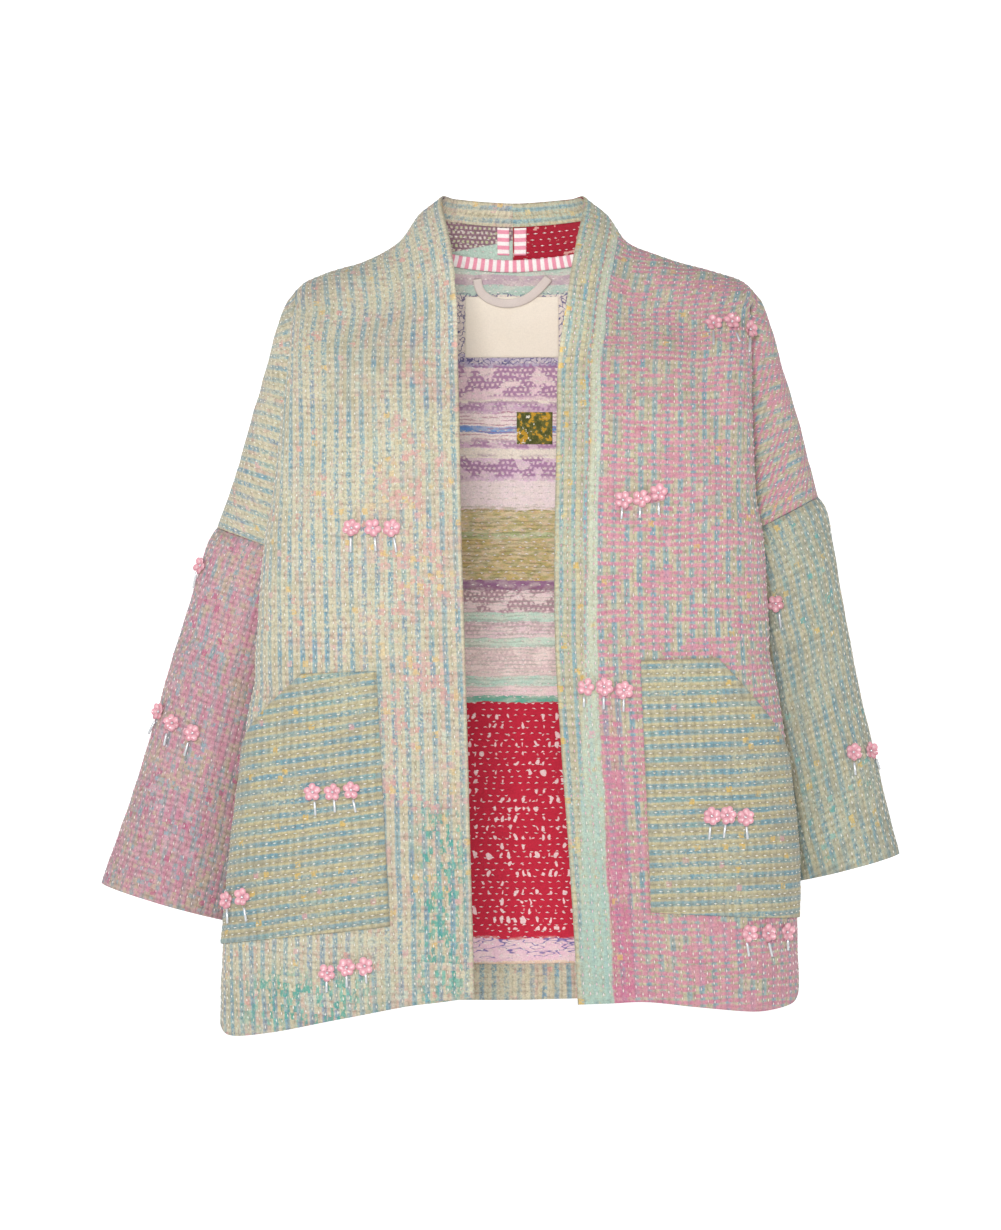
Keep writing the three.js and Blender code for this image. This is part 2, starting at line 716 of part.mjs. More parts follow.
// The distance coordinate of a point seen from the front at x and z.
function distanceAt(triangles, distances, x, z) {
  for (const [a, b, c] of triangles) {
    const area = (b.x - a.x) * (c.z - a.z) - (c.x - a.x) * (b.z - a.z);
    const u = ((x - a.x) * (c.z - a.z) - (c.x - a.x) * (z - a.z)) / area;
    const v = ((b.x - a.x) * (z - a.z) - (x - a.x) * (b.z - a.z)) / area;
    if (u < 0 || v < 0 || u + v > 1) continue;
    const [da, db, dc] = [a, b, c].map((p) => distances.get(keyOf(p)));
    return { distance: da + u * (db - da) + v * (dc - da), z };
  }
  throw new Error(`nothing of the front lies at ${x}, ${z}`);
}

// A patch pocket: the front's own triangles inside the pocket's outline, moved out.
function pocketGeometry(name) {
  const side = SIDES[name];
  const pocket = POCKETS[name];
  const { main } = grids[name].front;
  const distances = distancesFromEdge(main);
  const lipColumn = ACROSS_FRONT.slice(0, 6).reduce((a, b) => a + b, 0);
  const visible = gridTriangles(main.map((row) => row.slice(0, lipColumn + 1)), false);
  const at = ({ x, z }) => distanceAt(visible, distances, side.sign * x, z);
  const corners = {};
  for (const [key, p] of Object.entries(pocket)) corners[key] = at(p);
  const lines = [
    [corners.innerTop, corners.innerBottom],
    [corners.topCorner, corners.innerTop],
    [corners.slantAtLip, corners.topCorner],
    [corners.innerBottom, corners.bottomAtLip],
  ];
  const local = new Map(normals);
  let triangles = gridTriangles(main, name === "right");
  for (const [from, to] of lines) {
    const [du, dz] = [to.distance - from.distance, to.z - from.z];
    const size = Math.hypot(du, dz);
    const measure = (p) => {
      const u = distances.get(keyOf(p)) - from.distance;
      return (du * (p.z - from.z) - dz * u) / size;
    };
    triangles = cutAway(triangles, measure, [distances, local]);
  }
  return wallGeometry(triangles, local, CLOTH + LAYER_GAP, LAYER_GAP, SEAM_GAP);
}

// A layer inside a panel: the panel's own triangles within some limits, moved inwards.
function insideLayer(triangles, limits, thickness, distances) {
  const local = new Map(normals);
  const extra = distances ? [local, distances] : [local];
  let kept = triangles;
  for (const limit of limits) kept = cutAway(kept, limit, extra);
  const start = -CLOTH - LAYER_GAP;
  return wallGeometry(kept, local, start, start - thickness, SEAM_GAP);
}

function boxLimits({ left, right, top, bottom }) {
  return [(p) => p.x - left, (p) => right - p.x, (p) => top - p.z, (p) => p.z - bottom];
}

// A point on the inside of some triangles seen from the front, moved inwards.
function insideAt(triangles, x, z, depth) {
  for (const corners of triangles) {
    const [a, b, c] = corners;
    const area = (b.x - a.x) * (c.z - a.z) - (c.x - a.x) * (b.z - a.z);
    const u = ((x - a.x) * (c.z - a.z) - (c.x - a.x) * (z - a.z)) / area;
    const v = ((b.x - a.x) * (z - a.z) - (x - a.x) * (b.z - a.z)) / area;
    if (u < -1e-6 || v < -1e-6 || u + v > 1 + 1e-6) continue;
    const [na, nb, nc] = corners.map((p) => normals.get(keyOf(p)));
    const normal = na.clone().multiplyScalar(1 - u - v);
    normal.addScaledVector(nb, u).addScaledVector(nc, v).normalize();
    const y = a.y + u * (b.y - a.y) + v * (c.y - a.y);
    return { at: point(x, y, z).addScaledVector(normal, -depth), normal };
  }
  throw new Error(`nothing of the back lies at ${x}, ${z}`);
}

// A closed strip with a rounded flat section along a path of { at, normal }.
function stripGeometry(path, width, thickness) {
  const section = [
    [-0.5, -0.2],
    [-0.4, -0.5],
    [0.4, -0.5],
    [0.5, -0.2],
    [0.5, 0.2],
    [0.4, 0.5],
    [-0.4, 0.5],
    [-0.5, 0.2],
  ];
  const rings = path.map(({ at, normal }, k) => {
    const before = path[Math.max(0, k - 1)].at;
    const after = path[Math.min(path.length - 1, k + 1)].at;
    const along = after.clone().sub(before).normalize();
    const across = along.clone().cross(normal).normalize();
    return section.map(([u, v]) => {
      const p = at.clone().addScaledVector(across, u * width);
      return p.addScaledVector(normal, v * thickness);
    });
  });
  const corners = [];
  const count = section.length;
  for (let k = 0; k + 1 < rings.length; k++) {
    for (let i = 0; i < count; i++) {
      const j = (i + 1) % count;
      const [a, b, c, d] = [rings[k][i], rings[k][j], rings[k + 1][i], rings[k + 1][j]];
      corners.push(a, c, b, b, c, d);
    }
  }
  const last = rings[rings.length - 1];
  for (let i = 1; i + 1 < count; i++) {
    corners.push(rings[0][0], rings[0][i], rings[0][i + 1]);
    corners.push(last[0], last[i + 1], last[i]);
  }
  return solidFrom(corners);
}

for (const name of ["left", "right"]) {
  const side = SIDES[name];
  const front = wallGeometry(panelTriangles(name, "front"), normals, 0, -CLOTH, SEAM_GAP);
  addPiece(`front_${name}`, front, side.colour);
  const sleeve = wallGeometry(panelTriangles(name, "sleeve"), normals, 0, -CLOTH, SEAM_GAP);
  addPiece(`sleeve_${name}`, sleeve, side.sleeveColour);
  addPiece(`pocket_${name}`, pocketGeometry(name), COLOURS.pocketCloth);
}
const backTriangles = [...panelTriangles("left", "back"), ...panelTriangles("right", "back")];
addPiece("back", wallGeometry(backTriangles, normals, 0, -CLOTH, SEAM_GAP), COLOURS.backCloth);

// The collar's edge that is turned in, and the tapes beside the collar's centre-back seam.
for (const name of ["left", "right"]) {
  const flip = name === "right";
  const { main, neck } = grids[name].front;
  const distances = distancesFromEdge([...main, ...neck]);
  const edgeStrip = [...gridTriangles(main, flip), ...gridTriangles(neck, !flip)];
  const limits = [(p) => FACING_WIDTH - distances.get(keyOf(p)), (p) => p.z - FACING_END];
  const strip = insideLayer(edgeStrip, limits, FACING, distances);
  addPiece(`facing_${name}`, strip, SIDES[name].colour);
  const { from, to } = COLLAR_TAPES[name];
  const sign = SIDES[name].sign;
  const tapeLimits = [
    (p) => sign * p.x - from,
    (p) => to - sign * p.x,
    (p) => distances.get(keyOf(p)) - FACING_WIDTH - 1,
    (p) => TAPE_REACH - distances.get(keyOf(p)),
  ];
  const tape = insideLayer(gridTriangles(neck, !flip), tapeLimits, TAPE, distances);
  addPiece(`collar_tape_${name}`, tape, COLOURS.stripedTape);
}
const bodyRowCount = grids.left.front.main.length;
const hemTriangles = ["left", "right"].flatMap((name) =>
  gridTriangles(grids[name].back.main.slice(-2), name === "left", bodyRowCount),
);
addPiece("hem_back", insideLayer(hemTriangles, [], FACING), COLOURS.backCloth);

addPiece("label", insideLayer(backTriangles, boxLimits(LABEL), THIN_CLOTH), COLOURS.label, 0.8);
addPiece("patch", insideLayer(backTriangles, boxLimits(PATCH), THIN_CLOTH), COLOURS.olive);

// The tape over the neck seam, from one shoulder round the back of the neck to the other.
const neckColumn = ACROSS_FRONT[0] + ACROSS_FRONT[1];
const neckLine = [
  ...grids.left.front.neck.slice(1).map((row) => row[neckColumn]),
  ...grids.right.front.neck.slice(1, -1).map((row) => row[neckColumn]).reverse(),
];
const tapeDepth = CLOTH + LAYER_GAP + 0.2 + NECK_TAPE.thickness / 2;
const neckPath = neckLine.map((p) => {
  const normal = normals.get(keyOf(p));
  return { at: p.clone().addScaledVector(normal, -tapeDepth), normal };
});
const neckTape = stripGeometry(neckPath, NECK_TAPE.width, NECK_TAPE.thickness);
addPiece("neck_tape", neckTape, COLOURS.stripedTape);

const loopLine = splinePoints(
  LOOP.map((p) => point(p.x, 0, p.z)),
  [1, 2, 2, 2, 2, 2, 2, 1],
);
const loopDepth = CLOTH + 2 * LAYER_GAP + THIN_CLOTH + 0.2 + STRAP_THICKNESS / 2;
const loopPath = loopLine.map((p) => insideAt(backTriangles, p.x, p.z, loopDepth));
const loop = stripGeometry(loopPath, STRAP_WIDTH, STRAP_THICKNESS);
addPiece("hanging_loop", loop, COLOURS.strap);

export default jacket;
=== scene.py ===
# Looks of an open-front quilted jacket, filled out as it is worn with nobody inside it.
# All sizes are millimetres in the part's frame and turn into metres where meshes are made.
import math

import bpy
import numpy as np
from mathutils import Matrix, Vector
from mathutils.bvhtree import BVHTree


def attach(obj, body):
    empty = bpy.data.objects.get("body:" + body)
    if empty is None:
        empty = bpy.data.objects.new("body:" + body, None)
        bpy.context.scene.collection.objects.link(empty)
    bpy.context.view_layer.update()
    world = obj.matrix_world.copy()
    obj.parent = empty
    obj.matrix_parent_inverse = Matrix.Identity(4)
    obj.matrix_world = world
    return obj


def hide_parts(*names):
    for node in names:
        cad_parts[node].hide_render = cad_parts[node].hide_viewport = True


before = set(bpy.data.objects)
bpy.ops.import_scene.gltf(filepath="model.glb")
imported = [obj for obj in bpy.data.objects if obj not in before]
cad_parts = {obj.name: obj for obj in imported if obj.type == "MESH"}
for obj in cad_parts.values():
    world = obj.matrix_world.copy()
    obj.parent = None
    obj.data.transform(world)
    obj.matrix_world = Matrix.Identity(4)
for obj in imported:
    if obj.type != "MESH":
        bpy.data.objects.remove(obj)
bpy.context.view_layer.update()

MM = 0.001
RNG = np.random.default_rng(7)

# Photo geometry
PHOTO_WIDTH = 1001
PHOTO_HEIGHT = 1230
MM_PER_PIXEL = 0.88
CAMERA = np.array([-11.0, -3500.0, -307.0])
LENS = 116.41
SENSOR = 36

# Cloth sizes
CLOTH = 2.4
SEAM_GAP = 0.12
LAYER_GAP = 0.3
BAND = 56
FACING = 1.6
FACING_WIDTH = 21
THIN_CLOTH = 1.0
TAPE = 1.4
TAPE_STRIPE = 7.3
NECK_TAPE = (11, 3)  # width and thickness, as for the loop
LOOP_STRAP = (8, 2.4)
SOFT_EDGE = 0.5  # how far an edge is rounded
DIMPLE = 0.5  # depth of the cloth between the stitches of a row
ROW_PITCH = 5.6  # between rows of running stitches
STITCH = 4.0
STITCH_STEP = 7.6
ON_CLOTH = -0.12  # how high the ends of a stitch lie

# Body levels: height, depth of front, back and spine, the two folds and the tuck
LEVELS = [
    (-42, -54, 52, 75, -30, 30, 2),
    (-88, -92, 84, 90, -52, 50, 4),
    (-138, -113, 101, 101, -63, 60, 5),
    (-192, -122, 106, 107, -67, 64, 5),
    (-246, -126, 106, 107, -68, 66, 5),
    (-330, -126, 104, 105, -68, 66, 5),
    (-420, -127, 106, 107, -68, 67, 5),
    (-510, -129, 110, 111, -68, 68, 5),
    (-590, -131, 113, 114, -67, 68, 4),
    (-650, -132, 115, 116, -66, 68, 4),
]
UNDERARM = 4
SPINE_TOP = (67, -16)  # depth and height of the back's middle, below the neck seam
# Depth and drop of the points just off the shoulder ridge
RIDGE_SLOPES = [(26, 21), (27, 13), (26, 12), (24, 12), (22, 13), (19, 13), (17, 14), (15, 14)]
# Where the back's hem lies between its middle, 0, and its side, 1
BACK_HEM_SHARES = (0.1, 0.35, 0.6, 0.8, 1, 1, 1, 1)

# For each side: outline rows are edge, lip, seam, its depth and drop. Ridge and arm are x, z.
# Sleeve rows are the outer x, z, the inner x, z, half the depth and y.
SIDES = {
    "left": {
        "sign": 1,
        "outline": [
            (45.5, 206.5, 203, 19, 6),
            (38.5, 207, 196, 24, 7),
            (36.8, 207, 184, 22, 8),
            (35.9, 209.8, 171, 13, 10),
            (34.8, 216.5, 158, 0, 14),
            (35.2, 222, 175, 0, 9),
            (40.5, 234.5, 194, 0, 3),
            (47, 244, 215, 0, 0),
            (52, 245.5, 232, 0, 0),
            (54.5, 247, 239, 0, 0),
        ],
        "hem_edge": -637,
        "hem": [-635, -640, -644.5, -640, -632, -636, -640, -640],
        "ridge": [(99.4, 23), (140.8, 5.4), (180, -5.2), (199.8, -12.2), (205, -15.5),
                  (208, -18), (209.6, -19.6), (211, -21)],
        "arm": [(218.2, -29.8), (222.5, -41), (227, -55), (236.5, -87), (247, -121),
                (257, -159), (269, -203)],
        "sleeve": [
            (274.8, -212, 164.5, -270, 43, 0),
            (282.8, -250, 175, -300, 42, 0),
            (292.4, -308, 185, -350, 41, 1),
            (305, -372, 196.5, -408, 41, 2),
            (318, -427, 208.5, -459, 42, 2),
            (330.5, -480, 220.5, -509.5, 43, 2),
            (340.4, -516.5, 229, -544.5, 44, 2),
        ],
    },
    "right": {
        "sign": -1,
        "outline": [
            (49, 192, 189, 19, 6),
            (47.5, 195, 185, 24, 8),
            (46, 200.5, 177, 22, 10),
            (45, 207, 167, 13, 14),
            (43.8, 215, 156, 0, 22),
            (41.3, 221.5, 175, 0, 13),
            (38.7, 232, 195, 0, 5),
            (36.5, 242.5, 215, 0, 0),
            (34, 250, 233, 0, 0),
            (33, 253.5, 240, 0, 0),
        ],
        "hem_edge": -631,
        "hem": [-638.5, -650, -663, -667, -658, -660, -662, -662],
        "ridge": [(98.6, 23), (128.5, 5.4), (160, -4.3), (180.4, -12.2), (185, -15),
                  (188.5, -18), (190.3, -19.6), (191.8, -21)],
        "arm": [(198.9, -29.8), (203.5, -41), (208, -55), (217, -90), (229, -131),
                (243, -180), (261, -230)],
        "sleeve": [
            (267, -240, 162.5, -279, 43, 0),
            (277.2, -272, 174, -312, 42, 0),
            (297.4, -338, 189.5, -374, 41, 1),
            (316.8, -404, 205, -438, 41, 2),
            (337, -470, 220.5, -505, 42, 2),
            (352, -514, 231, -549, 43, 2),
            (362.4, -542.5, 238, -578.5, 44, 2),
        ],
    },
}
BACK_HEM = -656
BACK_LIP_INSET = 3
COLLAR = [
    ((52, 30, 62.5), (72, 36, 13.5)),
    ((28, 46, 61.5), (38, 54, 8)),
    ((0, 51, 60.5), (0, 61, 5.5)),
]
COLLAR_TOP = (63.4, -1, 61)
COLLAR_SLOPE = (55, -46, 14)
COLLAR_SWELL = 2.5
ARM_DEPTHS = [0, 12, 24, 33, 38, 40, 41]

# Soft folds: face, from x, z to x, z, width and height
FOLDS = [
    (-1, 150, -60, 195, -205, 17, -3.5),
    (-1, -142, -62, -190, -215, 17, -3.5),
    (-1, 190, -330, 205, -600, 24, 3),
    (-1, -120, -420, -135, -640, 26, 3.5),
    (-1, -205, -460, -215, -650, 20, -3),
    (-1, 120, -480, 128, -640, 24, -3),
    (1, -70, -300, -92, -650, 28, 4.5),
    (1, 78, -340, 96, -650, 28, 4),
    (1, 8, -380, 2, -650, 30, -4),
    (1, 150, -70, 188, -230, 17, -4),
    (1, -145, -70, -185, -225, 17, -4),
    (1, 168, -420, 182, -640, 22, -3),
    (1, -172, -400, -190, -650, 22, -3),
    (-1, 282, -300, 215, -345, 12, -2.5),
    (-1, -290, -320, -215, -372, 12, -2.5),
    (1, 285, -290, 205, -330, 12, -3.5),
    (1, -288, -305, -205, -345, 12, -3.5),
    (1, 300, -345, 222, -392, 12, -3),
    (1, -305, -365, -222, -410, 12, -3),
]

# Pockets, in the front view: corners as x, z
POCKETS = {
    "left": {"inner_top": (108.2, -345.7), "top_corner": (173.9, -343.6),
             "slant_at_lip": (227, -408), "inner_bottom": (116.6, -559.3),
             "bottom_at_lip": (240.5, -566.7)},
    "right": {"inner_top": (116.6, -354.5), "top_corner": (180.7, -357.3),
              "slant_at_lip": (230, -414), "inner_bottom": (104.7, -570.6),
              "bottom_at_lip": (247.5, -589.2)},
}
LABEL = (-43, 41.7, -21, -74)  # left, right, top, bottom
PATCH = (3.8, 36, -123, -152)
COLLAR_TAPES = {"left": (1.2, 12.4), "right": (3.4, 14.2)}
TAPE_REACH = 47
FACING_END = -15
POCKET_TILT = {"left": 0.02, "right": -0.15}  # of the pockets' stripes
LOOP = [(-32.5, -4.5), (-31, -12.5), (-26, -19.5), (-15, -25), (-2, -26.3), (10, -23.5),
        (20, -17), (28, -9), (32.5, -3.5)]

# Mesh fineness: how many cells each stretch between two control points gets
ACROSS_FRONT = [18, 18, 32, 34, 26, 8, 9, 20, 26]
DOWN_BODY = [5, 5, 8, 7, 7, 7, 11, 12, 12, 11, 8]
ACROSS_ARM = [6, 9, 9, 5]
ACROSS_SLEEVE = [22, 32, 32, 18]
DOWN_SLEEVE = [2, 6, 8, 9, 8, 8, 5]
DOWN_NECK = [18, 21, 24]
BAND_COLUMNS = ACROSS_FRONT[0] + ACROSS_FRONT[1]
LIP_COLUMN = sum(ACROSS_FRONT[:6])
RING_ROW = sum(DOWN_BODY[:UNDERARM + 2])


def spline(points, steps, before=None, after=None):
    """Smooth curve through control points along axis 0, with steps[k] parts on stretch k."""
    points = np.asarray(points, float)
    first = 2 * points[0] - points[1]
    last = 2 * points[-1] - points[-2]
    if before is not None:
        first = np.where(np.isnan(before), first, before)
    if after is not None:
        last = np.where(np.isnan(after), last, after)
    control = np.concatenate([first[None], points, last[None]])
    pieces = []
    for k, count in enumerate(steps):
        p0, p1, p2, p3 = control[k:k + 4]

        def root(a, b):
            return np.sqrt(np.linalg.norm(a - b, axis=-1, keepdims=True))

        d0, d1, d2 = root(p0, p1), root(p1, p2), root(p2, p3)
        d1 = np.where(d1 < 1e-4, 1.0, d1)
        d0 = np.where(d0 < 1e-4, d1, d0)
        d2 = np.where(d2 < 1e-4, d1, d2)
        t1 = ((p1 - p0) / d0 - (p2 - p0) / (d0 + d1) + (p2 - p1) / d1) * d1
        t2 = ((p2 - p1) / d1 - (p3 - p1) / (d1 + d2) + (p3 - p2) / d2) * d1
        share = (np.arange(count) / count).reshape((-1,) + (1,) * p1.ndim)
        c2 = -3 * p1 + 3 * p2 - 2 * t1 - t2
        c3 = 2 * p1 - 2 * p2 + t1 + t2
        pieces.append(p1 + t1 * share + c2 * share ** 2 + c3 * share ** 3)
    pieces.append(points[-1:])
    return np.concatenate(pieces)


def loft(rows, across, down, above=None, below=None, outside=None):
    """Grid of points [row, column] through control rows."""
    rows = np.asarray(rows, float)
    spread = spline(rows.transpose(1, 0, 2), across, after=outside).transpose(1, 0, 2)
    top = None if above is None else spline(above, across)
    bottom = None if below is None else spline(below, across)
    return spline(spread, down, before=top, after=bottom)


def body_rows(side, face):
    sign, front = side["sign"], face < 0
    rows = [[(sign * x, 0, z) for x, z in side["ridge"]]]
    rows.append([
        (sign * (x - (1 if i > 4 else 0)), face * RIDGE_SLOPES[i][0], z - RIDGE_SLOPES[i][1])
        for i, (x, z) in enumerate(side["ridge"])
    ])
    for k, (z, front_y, back_y, _, front_fold, back_fold, tuck) in enumerate(LEVELS):
        edge, lip, seam, seam_y, drop = side["outline"][k]
        at_hem = k == len(LEVELS) - 1
        band = edge + BAND
        lip = lip if front else lip - BACK_LIP_INSET
        fold = front_fold if front else back_fold
        depth = front_y if front else back_y
        behind = (lip - tuck, fold * 0.8)
        tucked_x = seam + 0.3 * (behind[0] - seam)
        tucked_y = face * seam_y + 0.82 * (behind[1] - face * seam_y)
        if not at_hem:
            heights = [z - d * drop for d in (0, 0, 0, 0, 0, 0.2, 0.6, 1)]
        elif front:
            heights = side["hem"]
        else:
            heights = [BACK_HEM + s * (side["hem"][-1] - BACK_HEM) for s in BACK_HEM_SHARES]
        xs = [band, band + 0.36 * (lip - band), band + 0.74 * (lip - band), lip - 7, lip,
              behind[0], tucked_x, seam]
        ys = [depth, depth * 0.97, depth * 0.86, fold * 1.32, fold, behind[1], tucked_y,
              face * seam_y]
        rows.append([(sign * x, y, h) for x, y, h in zip(xs, ys, heights)])
    return np.array(rows, float)


def band_rows(side, rows):
    sign = side["sign"]
    made = []
    for i, row in enumerate(rows):
        if i == 0:
            edge, out = COLLAR_TOP, (sign * COLLAR_SWELL, 0, COLLAR_SWELL)
        elif i == 1:
            edge, out = COLLAR_SLOPE, (0, -COLLAR_SWELL, COLLAR_SWELL)
        else:
            z, y = LEVELS[i - 2][:2]
            z = side["hem_edge"] if i == len(rows) - 1 else z
            edge, out = (side["outline"][i - 2][0], y + (-24 if i == 2 else 0), z), (0, -1.5, 0)
        edge = np.array(edge, float) * (sign, 1, 1)
        made.append([edge, (edge + row[0]) / 2 + out])
    return np.array(made)


def collar_rows(side):
    made = []
    for edge, seam in COLLAR:
        top = np.array(edge, float) * (side["sign"], 1, 1)
        foot = np.array(seam, float) * (side["sign"], 1, 1)
        out = np.array([top[0], top[1], 0])
        out *= COLLAR_SWELL / np.linalg.norm(out)
        made.append([top, (top + foot) / 2 + out, foot])
    return np.array(made)


def half_ring(inner, outer, depth, face, inner_y):
    def at(share, y):
        p = inner + share * (outer - inner)
        return (p[0], y + share * outer[1], p[2])
    bare = 0 if inner_y else inner[1]
    return [
        inner,
        at(0.12, face * (0.7 * inner_y + 0.5 * depth) + 0.88 * bare),
        at(0.5, face * depth + 0.5 * bare),
        at(0.88, face * 0.64 * depth),
        outer,
    ]


def arm_rows(side, rows, face):
    made = []
    for i, row in enumerate(rows[:UNDERARM + 3]):
        x, z = side["arm"][i]
        outer = np.array([side["sign"] * x, 0, z], float)
        made.append(half_ring(row[-1], outer, ARM_DEPTHS[i], face, abs(row[-1][1]) if i else 0))
    return np.array(made)


def sleeve_rows(side, seam_row, face):
    made = [seam_row]
    for x, z, inner_x, inner_z, depth, y in side["sleeve"]:
        inner = np.array([side["sign"] * inner_x, y, inner_z], float)
        outer = np.array([side["sign"] * x, y, z], float)
        made.append(half_ring(inner, outer, depth, face, 0))
    return np.array(made, float)


def join_column(grid, line, reach):
    """Moves the grid's first columns so that its border lies on the line."""
    fade = np.clip(1 - np.arange(grid.shape[1]) / reach, 0, 1)[None, :, None]
    return grid + (line - grid[:, 0])[:, None] * fade


def side_grids(side):
    front, back = body_rows(side, -1), body_rows(side, 1)
    band, collar = band_rows(side, front), collar_rows(side)
    front_net = np.concatenate([band, front], axis=1)
    blank = np.full((len(front), 3), np.nan)
    front_out, back_out = blank.copy(), blank.copy()
    front_out[UNDERARM + 2:] = back[UNDERARM + 2:, -2]
    back_out[UNDERARM + 2:] = front[UNDERARM + 2:, -2]
    above = np.concatenate([collar[0], back[1][1:]])
    main = loft(front_net, ACROSS_FRONT, DOWN_BODY, above=above, outside=front_out)
    neck = loft(
        np.concatenate([front_net[:1, :3], collar]), ACROSS_FRONT[:2], DOWN_NECK,
        above=front_net[1][:3], below=collar[1] * (-1, 1, 1))
    neck[0] = main[0][:BAND_COLUMNS + 1]
    rows = []
    for i, row in enumerate(back):
        if i == 0:
            inner = [collar[2][2], collar[1][2], collar[0][2]]
        else:
            y, z = (LEVELS[i - 2][3], LEVELS[i - 2][0]) if i > 1 else SPINE_TOP
            z = BACK_HEM if i == len(back) - 1 else z
            centre = np.array([0, y, z], float)
            inner = [centre]
            for share in (0.38, 0.72):
                p = centre + share * (row[0] - centre)
                bend = share ** 2 * (0.86 if i == 1 else 1)
                p[1] = centre[1] + (row[0][1] - centre[1]) * bend
                inner.append(p)
        rows.append([*inner, *row])
    back_net = np.array(rows)
    across_back = DOWN_NECK[::-1] + ACROSS_FRONT[2:]
    above = [collar[2 - j][1] if j < 3 else front[1][j - 3] for j in range(back_net.shape[1])]
    rear = loft(back_net, across_back, DOWN_BODY, above=np.array(above), outside=back_out)
    top = np.concatenate([neck[::-1, -1], main[0][BAND_COLUMNS + 1:]])
    fade = np.clip(1 - np.arange(len(rear)) / 10, 0, 1)[:, None, None]
    rear += (top - rear[0])[None] * fade
    rear[RING_ROW:, -1] = main[RING_ROW:, -1]

    def arm(rows, body, face):
        net = arm_rows(side, rows, face)
        grid = loft(net, ACROSS_ARM, DOWN_BODY[:UNDERARM + 2],
                    outside=net[:, 3] * (1, -1, 1))
        return net, join_column(grid, body[:RING_ROW + 1, -1], 6)

    front_net, front_arm = arm(front, main, -1)
    back_net, back_arm = arm(back, rear, 1)
    back_arm[:, -1] = front_arm[:, -1]
    back_arm[0] = front_arm[0]

    def sleeve(net, face):
        rows = sleeve_rows(side, net[-1], face)
        ghost = rows[:, 3] * (1, -1, 1) + rows[:, 4] * (0, 2, 0)
        return loft(rows, ACROSS_SLEEVE, DOWN_SLEEVE, outside=ghost)

    front_sleeve, back_sleeve = sleeve(front_net, -1), sleeve(back_net, 1)
    tube = np.concatenate([front_sleeve, back_sleeve[:, -2::-1]], axis=1)
    return {"main": main, "neck": neck, "arm": front_arm, "rear": rear,
            "rear_arm": back_arm, "sleeve": tube}


def fold_height(p):
    """How far the soft folds and the cloth's slack move a point along its normal."""
    height = np.zeros(p.shape[:-1])
    x, y, z = p[..., 0], p[..., 1], p[..., 2]
    for face, x1, z1, x2, z2, width, size in FOLDS:
        dx, dz = x2 - x1, z2 - z1
        share = np.clip(((x - x1) * dx + (z - z1) * dz) / (dx * dx + dz * dz), 0, 1)
        away = np.hypot(x - x1 - share * dx, z - z1 - share * dz)
        fade = np.clip((face * y - 4) / 16, 0, 1)
        height += fade * size * np.exp(-(away / width) ** 2)
    slack = 0.5 * np.sin(x / 19 + 1.3 * np.sin(z / 47)) * np.sin(z / 31 + 0.02 * y)
    slack += 0.35 * np.sin(x / 8.7 + z / 13 + y / 11) * np.sin(z / 9.1 - x / 23)
    return height + slack


def merged(grids):
    """Shared index of every grid point, so that points on common borders are one."""
    stacked = np.concatenate([g.reshape(-1, 3) for g in grids])
    keys = np.round(stacked * 200).astype(np.int64)
    _, first, index = np.unique(keys, axis=0, return_index=True, return_inverse=True)
    return stacked[first], index.reshape(-1)


def grid_quads(shape, start, flip):
    rows, columns = shape
    number = start + np.arange(rows * columns).reshape(rows, columns)
    a, b, c, d = number[:-1, :-1], number[:-1, 1:], number[1:, :-1], number[1:, 1:]
    quads = [a, b, d, c] if flip else [a, c, d, b]
    return np.stack(quads, axis=-1).reshape(-1, 4)


def shared_normals(points, quads):
    a, b, c, d = (points[quads[:, k]] for k in range(4))
    normal = np.cross(c - a, d - b)
    total = np.zeros_like(points)
    for k in range(4):
        np.add.at(total, quads[:, k], normal)
    return total / np.maximum(np.linalg.norm(total, axis=1, keepdims=True), 1e-9)


PLAN = [("main", False), ("neck", True), ("arm", False), ("rear", True), ("rear_arm", True),
        ("sleeve", False)]


def make_surfaces():
    """Every outer surface with its points and normals, folded and smooth across seams."""
    entries = []
    for name, side in SIDES.items():
        grids = side_grids(side)
        for part, turned in PLAN:
            entries.append((name, part, grids[part], turned != (name == "right")))
    for turn in range(2):
        points, index = merged([e[2] for e in entries])
        quads, start = [], 0
        for _, _, grid, flip in entries:
            quads.append(grid_quads(grid.shape[:2], start, flip))
            start += grid.shape[0] * grid.shape[1]
        normals = shared_normals(points, index[np.concatenate(quads)])
        if turn == 0:
            moved = points + normals * fold_height(points)[:, None]
        else:
            moved = points
        out, start = [], 0
        for name, part, grid, flip in entries:
            count = grid.shape[0] * grid.shape[1]
            where = index[start:start + count]
            out.append((name, part, moved[where].reshape(grid.shape), flip,
                        normals[where].reshape(grid.shape)))
            start += count
        entries = [(n, p, g, f) for n, p, g, f, _ in out]
    return {(n, p): {"P": g, "N": m, "flip": f} for n, p, g, f, m in out}


SURFACES = make_surfaces()


def along(grid, axis):
    """Distance over the cloth from the first row or column."""
    step = np.linalg.norm(np.diff(grid, axis=axis), axis=-1)
    pad = [(0, 0), (0, 0)]
    pad[axis] = (1, 0)
    return np.pad(np.cumsum(step, axis=axis), pad)


CHEST_ROW = sum(DOWN_BODY[:5])

